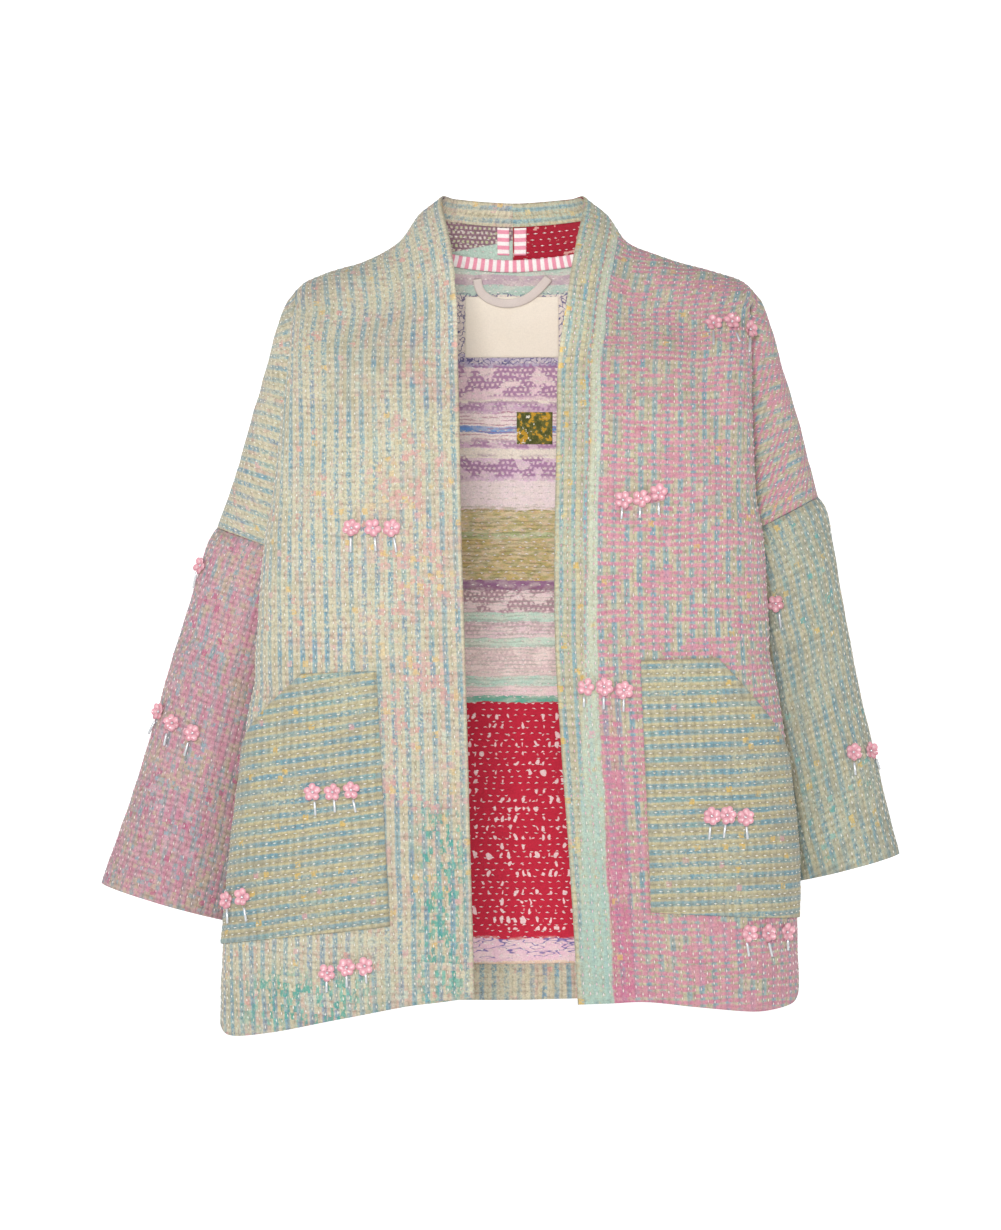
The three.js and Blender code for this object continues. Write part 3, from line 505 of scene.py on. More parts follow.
# Pattern coordinates: u across the stripes and v along them
for (name, part), s in SURFACES.items():
    P = s["P"]
    side_step, down_step = along(P, 1), along(P, 0)
    if part in ("arm", "rear_arm"):
        s["u"] = np.broadcast_to(down_step.mean(1, keepdims=True) + 300, P.shape[:2])
        s["v"] = side_step + 40
    else:
        s["u"], s["v"] = side_step, down_step
        if part in ("main", "rear"):
            s["v"] = down_step - down_step[CHEST_ROW] + 220
        if part == "rear" and name == "right":
            s["u"] = -side_step
for name in SIDES:
    neck = SURFACES[name, "neck"]
    neck["v"] = SURFACES[name, "main"]["v"][0, :BAND_COLUMNS + 1] - neck["v"]


def relief(u, v, depth):
    """The dimples between rows of running stitches."""
    row = np.round(u / ROW_PITCH)
    beat = 0.72 + 0.28 * np.sin(v * 2 * np.pi / STITCH_STEP + row * 2.4)
    return -depth * (0.5 + 0.5 * np.cos(2 * np.pi * u / ROW_PITCH)) * beat


class Surface:
    """A grid of cloth that can be looked up by any two of its fields."""

    def __init__(self, P, N, **fields):
        self.P, self.N = P, N
        self.fields = fields

    def sample(self, values, r, c):
        rows, columns = values.shape[:2]
        r = np.clip(r, 0, rows - 1.000001)
        c = np.clip(c, 0, columns - 1.000001)
        i, j = r.astype(int), c.astype(int)
        f, g = r - i, c - j
        if values.ndim == 3:
            f, g = f[..., None], g[..., None]
        return ((1 - f) * (1 - g) * values[i, j] + (1 - f) * g * values[i, j + 1]
                + f * (1 - g) * values[i + 1, j] + f * g * values[i + 1, j + 1])

    def locate(self, column_field, target_c, row_field, target_r):
        """Fractional rows and columns where two fields have the wanted values."""
        fc, fr = self.fields[column_field], self.fields[row_field]
        shape = target_c.shape
        tc, tr = target_c.ravel(), target_r.ravel()
        c = np.full(tc.shape, fc.shape[1] / 2)
        r = np.zeros(tc.shape)
        for _ in range(8):
            j = np.clip(c.astype(int), 0, fr.shape[1] - 2)
            g = (c - j)[:, None]
            lines = (1 - g) * fr[:, j].T + g * fr[:, j + 1].T
            r = self.inverse(lines, tr)
            i = np.clip(r.astype(int), 0, fc.shape[0] - 2)
            f = (r - i)[:, None]
            lines = (1 - f) * fc[i] + f * fc[i + 1]
            c = self.inverse(lines, tc)
        return r.reshape(shape), c.reshape(shape)

    @staticmethod
    def inverse(lines, target):
        rising = lines[:, -1] >= lines[:, 0]
        signed = np.where(rising[:, None], lines, -lines)
        goal = np.where(rising, target, -target)
        k = np.clip((signed < goal[:, None]).sum(1) - 1, 0, lines.shape[1] - 2)
        n = np.arange(len(target))
        low, high = signed[n, k], signed[n, k + 1]
        share = (goal - low) / np.where(np.abs(high - low) < 1e-9, 1e-9, high - low)
        return k + np.clip(share, 0, 1)

    def take(self, r, c):
        normal = self.sample(self.N, r, c)
        normal /= np.linalg.norm(normal, axis=-1, keepdims=True)
        return self.sample(self.P, r, c), normal


def new_object(name, points, faces, corner_values=None, slots=None, smooth=True):
    """Mesh object from millimetre points and a list or array of faces."""
    mesh = bpy.data.meshes.new(name)
    faces = [np.asarray(f) for f in (faces if isinstance(faces, list) else [faces])]
    sizes = np.concatenate([np.full(len(f), f.shape[1]) for f in faces])
    corners = np.concatenate([f.ravel() for f in faces])
    mesh.vertices.add(len(points))
    mesh.vertices.foreach_set("co", (np.asarray(points) * MM).astype(np.float32).ravel())
    mesh.loops.add(len(corners))
    mesh.loops.foreach_set("vertex_index", corners.astype(np.int32))
    mesh.polygons.add(len(sizes))
    starts = np.concatenate([[0], np.cumsum(sizes)[:-1]]).astype(np.int32)
    mesh.polygons.foreach_set("loop_start", starts)
    mesh.polygons.foreach_set("use_smooth", np.full(len(sizes), smooth))
    if slots is not None:
        mesh.polygons.foreach_set("material_index", np.asarray(slots, np.int32))
    if corner_values is not None:
        layer = mesh.attributes.new("cloth", "FLOAT_VECTOR", "CORNER")
        layer.data.foreach_set("vector", np.asarray(corner_values, np.float32).ravel())
    mesh.update(calc_edges=True)
    mesh.validate()
    obj = bpy.data.objects.new(name, mesh)
    bpy.context.scene.collection.objects.link(obj)
    return obj


def shell(name, patches, start, thickness):
    """A closed cloth wall over patches of outer surface, with soft edges.

    Each patch has P, N, u, v and flip, and may have w. start is how far the outer face
    lies from the surface along its normal.
    """
    points, index = merged([p["P"] for p in patches])
    normals = np.zeros_like(points)
    height = np.zeros(len(points))
    quads, values, begin = [], [], 0
    for p in patches:
        count = p["u"].size
        where = index[begin:begin + count]
        normals[where] = p["N"].reshape(-1, 3)
        height[where] = relief(p["u"], p["v"], DIMPLE if p.get("raised", True) else 0).ravel()
        numbers = grid_quads(p["u"].shape, 0, p["flip"])
        value = np.stack([p["u"], p["v"], np.full_like(p["u"], p.get("w", 0))], -1)
        quads.append(where[numbers])
        values.append(value.reshape(-1, 3)[numbers])
        begin += count
    quads = np.concatenate(quads)
    values = np.concatenate(values)
    keep = (np.sort(quads, 1)[:, 1:] != np.sort(quads, 1)[:, :-1]).all(1)
    quads, values = quads[keep], values[keep]
    edges = np.stack([quads, np.roll(quads, -1, 1)], -1).reshape(-1, 2)
    edge_values = np.stack([values, np.roll(values, -1, 1)], 2).reshape(-1, 2, 3)
    code = edges[:, 0].astype(np.int64) * len(points) + edges[:, 1]
    back = edges[:, 1].astype(np.int64) * len(points) + edges[:, 0]
    border = ~np.isin(code, back)
    owners = np.repeat(np.arange(len(quads)), 4)[border]
    rim, rim_values = edges[border], edge_values[border]
    centres = points[quads].mean(1)[owners]
    inward = np.zeros_like(points)
    way = points[rim[:, 1]] - points[rim[:, 0]]
    way /= np.maximum(np.linalg.norm(way, axis=1, keepdims=True), 1e-9)
    middle = centres - points[rim].mean(1)
    middle -= way * (middle * way).sum(1, keepdims=True)
    middle /= np.maximum(np.linalg.norm(middle, axis=1, keepdims=True), 1e-9)
    for k in range(2):
        np.add.at(inward, rim[:, k], middle)
    size = np.linalg.norm(inward, axis=1, keepdims=True)
    inward = np.where(size > 1e-9, inward / np.maximum(size, 1e-9), 0)
    on_rim = (size[:, 0] > 1e-9)
    soft = np.where(on_rim, min(SOFT_EDGE, thickness * 0.3), 0)[:, None]
    outer = points + normals * (start + height[:, None] * ~on_rim[:, None] - soft)
    outer = outer + inward * SEAM_GAP
    outward = np.cross(points[quads[:, 2]] - points[quads[:, 0]],
                       points[quads[:, 3]] - points[quads[:, 1]])
    # Where the cloth turns tightly its inner face stays closer
    facing = outward / np.maximum(np.linalg.norm(outward, axis=1, keepdims=True), 1e-9)
    lean = np.ones(len(points))
    np.minimum.at(lean, quads, (normals[quads] * facing[:, None]).sum(2))
    thin = np.clip((lean - 0.5) / 0.42, 0.15, 1)
    for _ in range(2):
        spread = thin.copy()
        least = thin[quads].min(1, keepdims=True) + 0.25
        np.minimum.at(spread, quads, np.broadcast_to(least, quads.shape))
        thin = spread
    for _ in range(7):
        wall = (thickness * thin + 0.3 * height * thin)[:, None]
        inner = points + normals * (start - wall + soft) + inward * SEAM_GAP
        turned_in = np.cross(inner[quads[:, 2]] - inner[quads[:, 0]],
                             inner[quads[:, 3]] - inner[quads[:, 1]])
        bad = (turned_in * outward).sum(1) < 0.2 * (outward ** 2).sum(1)
        if not bad.any():
            break
        thin[np.unique(quads[bad])] *= 0.78
    rim_ids = np.flatnonzero(on_rim)
    middle_of = np.full(len(points), -1)
    middle_of[rim_ids] = 2 * len(points) + np.arange(len(rim_ids))
    mid = points[rim_ids] + normals[rim_ids] * (start - thickness / 2)
    mid = mid - inward[rim_ids] * (soft[rim_ids] * 0.3 - SEAM_GAP * 0.3)
    total = np.concatenate([outer, inner, mid])
    inside = quads[:, ::-1] + len(points)
    a, b = rim[:, 0], rim[:, 1]
    upper = np.stack([b, a, middle_of[a], middle_of[b]], 1)
    lower = np.stack([middle_of[b], middle_of[a], a + len(points), b + len(points)], 1)
    va, vb = rim_values[:, 0], rim_values[:, 1]
    side_values = np.stack([vb, va, va, vb], 1)
    faces = np.concatenate([quads, inside, upper, lower])
    corner = np.concatenate([values, values[:, ::-1], side_values, side_values])
    slots = np.concatenate([np.zeros(len(quads)), np.ones(len(inside)), np.zeros(2 * len(rim))])
    obj = new_object(name, total, faces, corner.reshape(-1, 3), slots)
    area = np.linalg.norm(np.cross(points[quads[:, 2]] - points[quads[:, 0]],
                                   points[quads[:, 3]] - points[quads[:, 1]]), axis=1).sum() / 2
    return obj, area * 1e-6


def patch(s, rows=slice(None), columns=slice(None), w=0):
    """Some rows and columns of a surface, as a shell takes them."""
    return {**{k: s[k][rows, columns] for k in "PNuv"}, "flip": s["flip"], "w": w}


def dress(obj, node, outer, inner=None):
    """Gives a piece its materials, its place and what it replaces."""
    for material in (outer, inner or outer):
        obj.data.materials.append(material)
    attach(obj, "root")
    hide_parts(node)


def clothe(name, node, patches, start, thickness, outer, inner=None):
    """A cloth wall over patches, dressed as the piece that it stands for."""
    obj, area = shell(name, patches, start, thickness)
    dress(obj, node, outer, inner)


def linear(code):
    """Linear colour of a hex code."""
    values = [int(code[k:k + 2], 16) / 255 for k in (0, 2, 4)]
    return (*[c / 12.92 if c <= 0.04045 else ((c + 0.055) / 1.055) ** 2.4 for c in values], 1)


def arithmetic(operation, swapped=False):
    def apply(self, other):
        a, b = (other, self) if swapped else (self, other)
        return self.net.math(operation, a, b)
    return apply


class Wire:
    """A node's output that can be added to, multiplied and so on."""

    def __init__(self, net, socket):
        self.net, self.socket = net, socket

    __add__ = __radd__ = arithmetic("ADD")
    __sub__ = arithmetic("SUBTRACT")
    __rsub__ = arithmetic("SUBTRACT", True)
    __mul__ = __rmul__ = arithmetic("MULTIPLY")
    __truediv__ = arithmetic("DIVIDE")

    def __neg__(self):
        return self * -1.0


class Net:
    """One material's nodes. u, v and w are millimetres over the cloth; x, y and z in space."""

    def __init__(self, name, roughness=0.88, sheen=0.2):
        self.material = bpy.data.materials.new(name)
        self.material.use_nodes = True
        self.nodes = self.material.node_tree.nodes
        self.shader = self.nodes["Principled BSDF"]
        self.shader.inputs["Roughness"].default_value = roughness
        self.shader.inputs["Sheen Weight"].default_value = sheen
        self.shader.inputs["Sheen Roughness"].default_value = 0.6
        self.shader.inputs["Specular IOR Level"].default_value = 0.25
        cloth = self.add("ShaderNodeAttribute", attribute_name="cloth")
        self.u, self.v, self.w = self.split(cloth.outputs["Vector"])
        place = self.add("ShaderNodeTexCoord").outputs["Object"]
        self.x, self.y, self.z = (axis * 1000 for axis in self.split(place))
        # Bump height, and how fast the colour darkens downward as painted shade
        self.height, self.painted_shade_slope = 0.0, 0.0

    def add(self, kind, *inputs, **settings):
        node = self.nodes.new(kind)
        for key, value in settings.items():
            setattr(node, key, value)
        for socket, value in zip(node.inputs, inputs):
            self.put(socket, value)
        return node

    def put(self, socket, value):
        if isinstance(value, Wire):
            value = value.socket
        if isinstance(value, bpy.types.NodeSocket):
            self.material.node_tree.links.new(value, socket)
        elif value is not None:
            socket.default_value = value

    def split(self, vector):
        return [Wire(self, s) for s in self.add("ShaderNodeSeparateXYZ", vector).outputs]

    def math(self, operation, a, b=0.0):
        return Wire(self, self.add("ShaderNodeMath", a, b, operation=operation).outputs[0])

    def vector(self, x, y, z=0.0):
        return Wire(self, self.add("ShaderNodeCombineXYZ", x, y, z).outputs[0])

    def noise(self, x, y, seed, size, detail=2.0):
        """Smooth noise about 0.5, with features of the given size in millimetres."""
        node = self.add("ShaderNodeTexNoise")
        self.put(node.inputs["Vector"], self.vector(x, y, seed * 13.7 * size))
        node.inputs["Scale"].default_value = 1 / size
        node.inputs["Detail"].default_value = detail
        return Wire(self, node.outputs[0])

    def chance(self, x, y, seed):
        """A random number for each whole x and y."""
        cell = self.vector(self.math("FLOOR", x), self.math("FLOOR", y), seed)
        node = self.add("ShaderNodeTexWhiteNoise", cell)
        return Wire(self, node.outputs["Value"])

    def step(self, value, edge, soft):
        """0 below the edge and 1 above it."""
        node = self.add("ShaderNodeMapRange", value, edge - soft, edge + soft,
                        interpolation_type="SMOOTHSTEP")
        return Wire(self, node.outputs[0])

    def patches(self, x, y, seed, size, edge, soft, detail=2.0):
        """1 where smooth noise is above an edge."""
        return self.step(self.noise(x, y, seed, size, detail), edge, soft)

    def dots(self, x, y, pitch, row, size):
        """1 on round spots, each row half a pitch on from the last."""
        shift = pitch / 2 * self.math("FLOOR", y / row)
        return self.stripes(x + shift, pitch, size, 0.5) * self.stripes(y, row, size, 0.5)

    def between(self, value, low, high, soft):
        return self.step(value, low, soft) * (1 - self.step(value, high, soft))

    def stripes(self, value, pitch, width, soft):
        """1 on stripes of the given width, one every pitch."""
        away = self.math("ABSOLUTE", self.math("FRACT", value / pitch) - 0.5) * pitch
        return 1 - self.step(away, width / 2, soft)

    def mix(self, share, a, b, kind="MIX"):
        node = self.add("ShaderNodeMix", data_type="RGBA", blend_type=kind)
        self.put(node.inputs[0], share)
        for socket, value in ((node.inputs[6], a), (node.inputs[7], b)):
            self.put(socket, linear(value) if isinstance(value, str) else value)
        return Wire(self, node.outputs[2])

    def ramp(self, value, stops, smooth=False):
        node = self.add("ShaderNodeValToRGB", value)
        band = node.color_ramp
        band.interpolation = "LINEAR" if smooth else "CONSTANT"
        band.elements.remove(band.elements[1])
        for k, (at, code) in enumerate(stops):
            element = band.elements[0] if k == 0 else band.elements.new(at)
            element.position = at
            element.color = linear(code)
        return Wire(self, node.outputs[0])

    def finish(self, colour, bump=0.5, x=None, y=None, grain=0.66):
        """Adds the threads' own grain in colour and height, darkens the colour towards the bottom as
        painted shade, and closes the material.
        """
        x, y = x or self.u, y or self.v
        threads = self.noise(x * 1.3, y * 0.5, 21, 1.0) + self.noise(x * 0.5, y * 1.3, 22, 1.0)
        # The grain, times a painted shade that darkens the colour towards the bottom
        shade = (threads * grain + (0.98 - grain)) * (1 + self.z * self.painted_shade_slope)
        grey = Wire(self, self.add("ShaderNodeCombineColor", shade, shade, shade).outputs[0])
        self.put(self.shader.inputs["Base Color"], self.mix(1.0, colour, grey, "MULTIPLY"))
        node = self.add("ShaderNodeBump")
        node.inputs["Strength"].default_value = bump
        node.inputs["Distance"].default_value = 0.0006
        self.put(node.inputs["Height"], threads + self.height)
        self.put(self.shader.inputs["Normal"], node.outputs[0])
        return self.material


def woven(net, u, v, ground, blues, pitch=11.2, width=4.4, fade=0.4, cell=6.6, seed=1, cross=0.25):
    """Worn striped cloth, with painted shade in the dimples along its stitch rows and towards the
    bottom: u runs across its stripes and v along them.
    """
    rag = net.noise(u, v, seed, 1.9, 3.0)
    across = u + (net.noise(u, v, seed + 1, 110) - 0.5) * 6 + (rag - 0.5) * 2.0
    down = v + (net.noise(u, v, seed + 2, 70) - 0.5) * 10 + (rag - 0.5) * 2.2
    column = net.chance(across / (pitch / 2), 0.5, seed)
    block = net.chance(across / (pitch / 2), down / cell, seed + 7)
    tone = column * 0.35 + (net.noise(u, v, seed + 3, 26) - 0.5) * 1.4 + block * 0.5 + 0.08
    colour = net.ramp(tone, ground, True)
    other = net.chance(across / pitch, down / (cell * 1.5), seed + 5)
    blue = net.ramp((net.noise(u, v, seed + 8, 24) - 0.5) * 1.6 + 0.3 + other * 0.4, blues, True)
    patchy = net.patches(u, v, seed + 4, 36, 0.42, 0.14)
    strength = patchy * fade + (1 - fade) * (0.6 + 0.4 * other)
    stripe = net.stripes(across, pitch, width, 0.8) * strength
    colour = net.mix(stripe, colour, blue)
    weft = net.stripes(down + cell / 2, cell, 2.2, 0.9) * net.patches(u, v, seed + 6, 20, 0.42, 0.12)
    colour = net.mix(weft * cross, colour, "D2CEB9")
    rib = net.stripes(down, cell, 1.6, 1.1)
    colour = net.mix(rib * (0.1 + 0.4 * block), colour, "857F6C")
    # Painted shade: the dimples along the rows of running stitches are darkened in the colour, in
    # patches
    row = net.stripes(u + ROW_PITCH / 2, ROW_PITCH, 1.2, 1.1)
    gap = net.patches(u, v, seed + 9, 3.4, 0.42, 0.12)
    net.height = (1 - row) * 1.5 + (1 - rib) * 0.7
    # Painted shade: the cloth's colour grows darker towards the hem
    net.painted_shade_slope = 0.00022
    return net.mix(row * gap * 0.42, colour, "77745F"), across, down


def worn(net, colour, u, v, tint, amount, size=2.2, patch_size=55, seed=30):
    """Rubbed spots of another colour, gathered in patches."""
    spots = net.patches(u, v, seed, size, 0.55, 0.07, 3.0)
    where = net.step(net.noise(u, v, seed + 1, patch_size), 1 - amount, 0.1)
    return net.mix(spots * where * 0.75, colour, tint)


def specks(net, colour, across, down, tints, amount, size=5.0, seed=40, where=None):
    """Cells of bright colours scattered over the cloth."""
    pick = net.chance(across / size, down / size, seed)
    mask = net.step(pick, 1 - amount, 0.001)
    soft = net.patches(across, down, seed + 1, 3.0, 0.44, 0.12) * 0.8
    mask = mask * soft if where is None else mask * soft * where
    tint = net.ramp(net.chance(across / size, down / size, seed + 2), tints)
    return net.mix(mask, colour, tint)


GROUND = [(0, "BFB598"), (0.28, "CDC3A6"), (0.45, "DAD0B4"), (0.6, "CFC0A8"),
          (0.75, "D3B2A2"), (1, "D3D6C4")]
BLUES = [(0, "9ABBB6"), (0.35, "86B0BC"), (0.6, "76A6BA"), (0.85, "8A9FB6")]


def green_cloth():
    net = Net("green striped cloth")
    colour, across, down = woven(net, net.u, net.v, GROUND, BLUES)
    colour = worn(net, colour, net.u, net.v, "CFD3BC", 0.5)
    colour = worn(net, colour, net.u, net.v, "D9D2B4", 0.5, 3.2, 70, 33)
    colour = specks(net, colour, across, down, [(0, "DDA79C"), (0.35, "D9B1AE"), (0.7, "E2C07E")], 0.035)
    front = 1 - net.step(net.y, 0, 10)
    near = net.between(net.x, -120, -42, 22) * net.patches(net.u, net.v, 51, 34, 0.5, 0.08)
    near = near * net.between(net.z, -520, -90, 60) * front
    pinks = [(0, "D9A29E"), (0.45, "D8ADA8"), (0.8, "E0C088")]
    colour = specks(net, colour, across, down, pinks, 0.5, 5.6, 44, near)
    teal = net.between(net.x, -80, -42, 8) * net.between(net.z, -640, -470, 20)
    low = net.between(net.x, -230, -120, 30) * net.between(net.z, -660, -612, 10)
    greens = [(0, "3FA798"), (0.5, "6FBBAA"), (0.8, "4C9F9C")]
    colour = specks(net, colour, across * 1.7, down * 0.8, greens, 0.42, 5.0, 47, (teal + low) * front)
    return net.finish(colour)


def pink_cloth():
    net = Net("pink checked cloth")
    u, v = net.u, net.v
    base = [(0, "B4AB94"), (0.35, "C6BCA0"), (0.6, "D2C6A6"), (0.8, "C0AEA0"), (1, "CFBFA8")]
    teals = [(0, "94B2AE"), (0.4, "86AEB8"), (0.8, "7AA6BA")]
    colour, across, down = woven(net, u, v, base, teals, width=4.6, fade=0.2)
    tall = net.step(-net.z, 470, 110)
    lines = net.stripes(down + (net.noise(u, v, 60, 3, 3.0) - 0.5) * 1.5, 5.9, 3.4, 0.7)
    pick = net.chance(across / 11.2, down / 5.9, 64)
    wave = net.noise(u, v * 1.3, 61, 21)
    run = net.noise(u, net.math("FLOOR", down / 5.9) * 37.0, 62, 17)
    dense = (wave - 0.5) * 1.7 + (run - 0.5) * 1.6 + pick * 0.4 + tall * 0.18 + 0.36
    row = net.stripes(u + ROW_PITCH / 2, ROW_PITCH, 1.0, 0.8)
    cover = lines * net.step(dense, 0.46, 0.06) * (1 - row * 0.6)
    solid = net.step(dense, 0.92, 0.08) * 0.8
    cover = net.math("MAXIMUM", cover, solid)
    tone = net.noise(u, v, 65, 9) * 0.9 + pick * 0.2
    pinks = net.ramp(tone, [(0.2, "CB7C96"), (0.45, "D2869C"), (0.65, "D994A6"), (0.9, "C66F8B")], True)
    body = net.mix(cover * 0.9, colour, pinks)
    # The front band: blue and cream check, a mint strip that widens and a deep pink edge
    checks = [(0, "B4AF98"), (0.4, "C9BF9F"), (0.65, "BFB8A0"), (0.9, "D6C9A0")]
    check, wide, tall_cells = woven(net, u, v, checks, [(0, "A3BFB6"), (0.5, "8DB4BC"), (0.8, "7FADBD")],
                                    10.4, 3.6, 0.3, 7.0, 71)
    check = worn(net, check, u, v, "BCCDBB", 0.5, 2.2, 40, 74)
    check = specks(net, check, wide, tall_cells, [(0, "E0BA62"), (0.6, "D8C58E")], 0.05, 5.0, 48)
    edge = u + (net.noise(v, u, 75, 34) - 0.5) * 7 + net.step(-net.z, 420, 200) * 6
    band = net.math("MAXIMUM", 1 - net.step(edge, 37, 0.7), net.step(net.y, 20, 1))
    body = net.mix(band, body, check)
    grown = net.step(-net.z, 430, 200)
    mint = net.step(edge + grown * 18, 29.5, 2.2) * (1 - net.step(edge, 37, 0.7))
    mint = mint * (0.4 + 0.5 * net.step(net.noise(u, v, 76, 3.4, 3.0) + grown * 0.04, 0.48, 0.1))
    mint_colour = net.mix(grown, "CFD6C0", "AECABD")
    body = net.mix(mint, body, mint_colour)
    thread = net.between(edge, 26, 27.4, 0.4) * net.step(net.math("FRACT", v / 7.6), 0.5, 0.05)
    body = net.mix(thread * (1 - grown) * 0.7, body, "C97F86")
    deep = net.between(edge, 37.4, 56, 2.2) * net.step(-net.z, 385, 20)
    deep = deep * (net.step(-net.z, 500, 90) * 0.35 + 0.4) * net.patches(u, v, 66, 2.6, 0.45, 0.2, 3.0)
    body = net.mix(deep, body, "CB6D92")
    body = specks(net, body, across, down, [(0, "DDB873"), (0.6, "DDAAB4")], 0.012)
    return net.finish(body)


def pink_sleeve_cloth():
    net = Net("pink sleeve cloth")
    u, v = net.u, net.v
    base = [(0, "C9849B"), (0.35, "CD8AA0"), (0.55, "D49AAB"), (0.72, "C6AE9C"), (0.88, "BFA59A"),
            (1, "CB879D")]
    other = [(0, "C98BA0"), (0.45, "A9A2AC"), (0.75, "8CA7B2")]
    colour, across, down = woven(net, u, v, base, other, 11.2, 4.2, 0.55, 5.6, 81)
    colour = worn(net, colour, u, v, "CFAF9F", 0.5, 2.6, 30, 84)
    greys = [(0, "9FB0B4"), (0.45, "C9B59E"), (0.8, "8FB0BA")]
    colour = specks(net, colour, across, down, greys, 0.2, 3.7, 86)
    return net.finish(specks(net, colour, across, down, [(0, "BF6486"), (0.5, "D6AAB5")], 0.05))


def blue_sleeve_cloth():
    net = Net("blue sleeve cloth")
    u, v = net.u, net.v
    base = [(0, "A8AB98"), (0.35, "BDB89C"), (0.6, "C9C0A0"), (0.85, "B3BBA8")]
    colour, across, down = woven(net, u, v, base, [(0, "85ABB0"), (0.5, "76A2B2"), (0.8, "8CAFAC")],
                                 11.2, 5.0, 0.35, 6.5, 91, 0.4)
    grey = net.step(net.chance(across / 5.6, down / 6.5, 96), 0.62, 0.01)
    grey = grey * net.patches(u, v, 97, 3, 0.4, 0.1)
    colour = net.mix(grey * 0.4, colour, "99998A")
    colour = worn(net, colour, u, v, "C4C8B0", 0.5, 2.4, 45, 94)
    brights = [(0, "66AFAA"), (0.4, "DDBF74"), (0.75, "8FBDB4")]
    return net.finish(specks(net, colour, across, down, brights, 0.03))


def pocket_cloth():
    net = Net("pocket cloth")
    u, v = net.u, net.v
    base = [(0, "ABA68E"), (0.35, "BDB394"), (0.6, "CFC296"), (0.9, "C4BB9A")]
    colour, across, down = woven(net, u, v, base, [(0, "7DA8B0"), (0.5, "6C9FB4"), (0.8, "88AEB0")],
                                 11.2, 4.6, 0.12, 7.4, 101, 0.3)
    grey = net.stripes(across + 5.6, 11.2, 2.8, 0.8) * net.patches(u, v, 106, 30, 0.36, 0.1)
    colour = net.mix(grey * 0.42, colour, "98917C")
    colour = worn(net, colour, u, v, "CBC8A8", 0.44, 2.4, 45, 104)
    return net.finish(specks(net, colour, across, down, [(0, "DDB864"), (0.7, "D3A2A6")], 0.025))


def picture_height(y, depth):
    """Height of a line of the photo, in pixels, on cloth at the given depth."""
    return CAMERA[2] + (PHOTO_HEIGHT / 2 - y) * MM_PER_PIXEL * (depth - CAMERA[1]) / -CAMERA[1]


# Bands down the inside of the back; the pale colours are set brighter than the cloth's own, as painted
# light for the inside
INSIDE_BANDS = [
    (180, "B9D0C2"), (278, "C0AAB4"), (287, "B4CBBF"), (297, "E3D6CE"), (356, "B4A9C2"), (366, "E8CBD2"),
    (398, "EFE3D6"), (404, "D3B2C8"), (411, "EFDCDC"), (424, "6C97D2"), (430, "EFDFDC"), (440, "DBB9CD"),
    (448, "EFE4D6"), (457, "E4C6D8"), (480, "F0DEDF"), (507, "D0BC84"), (531, "AFBC86"), (538, "C6B074"),
    (580, "94698B"), (587, "EBD2D5"), (612, "C0DCCB"), (620, "E8CFD3"), (635, "C8DECD"), (645, "EFD9D6"),
    (675, "BCD8C9"), (684, "EBCFD2"), (693, "66AE98"), (702, "BE1C38"), (937, "E2BECA"), (960, "EBCDB4"),
]


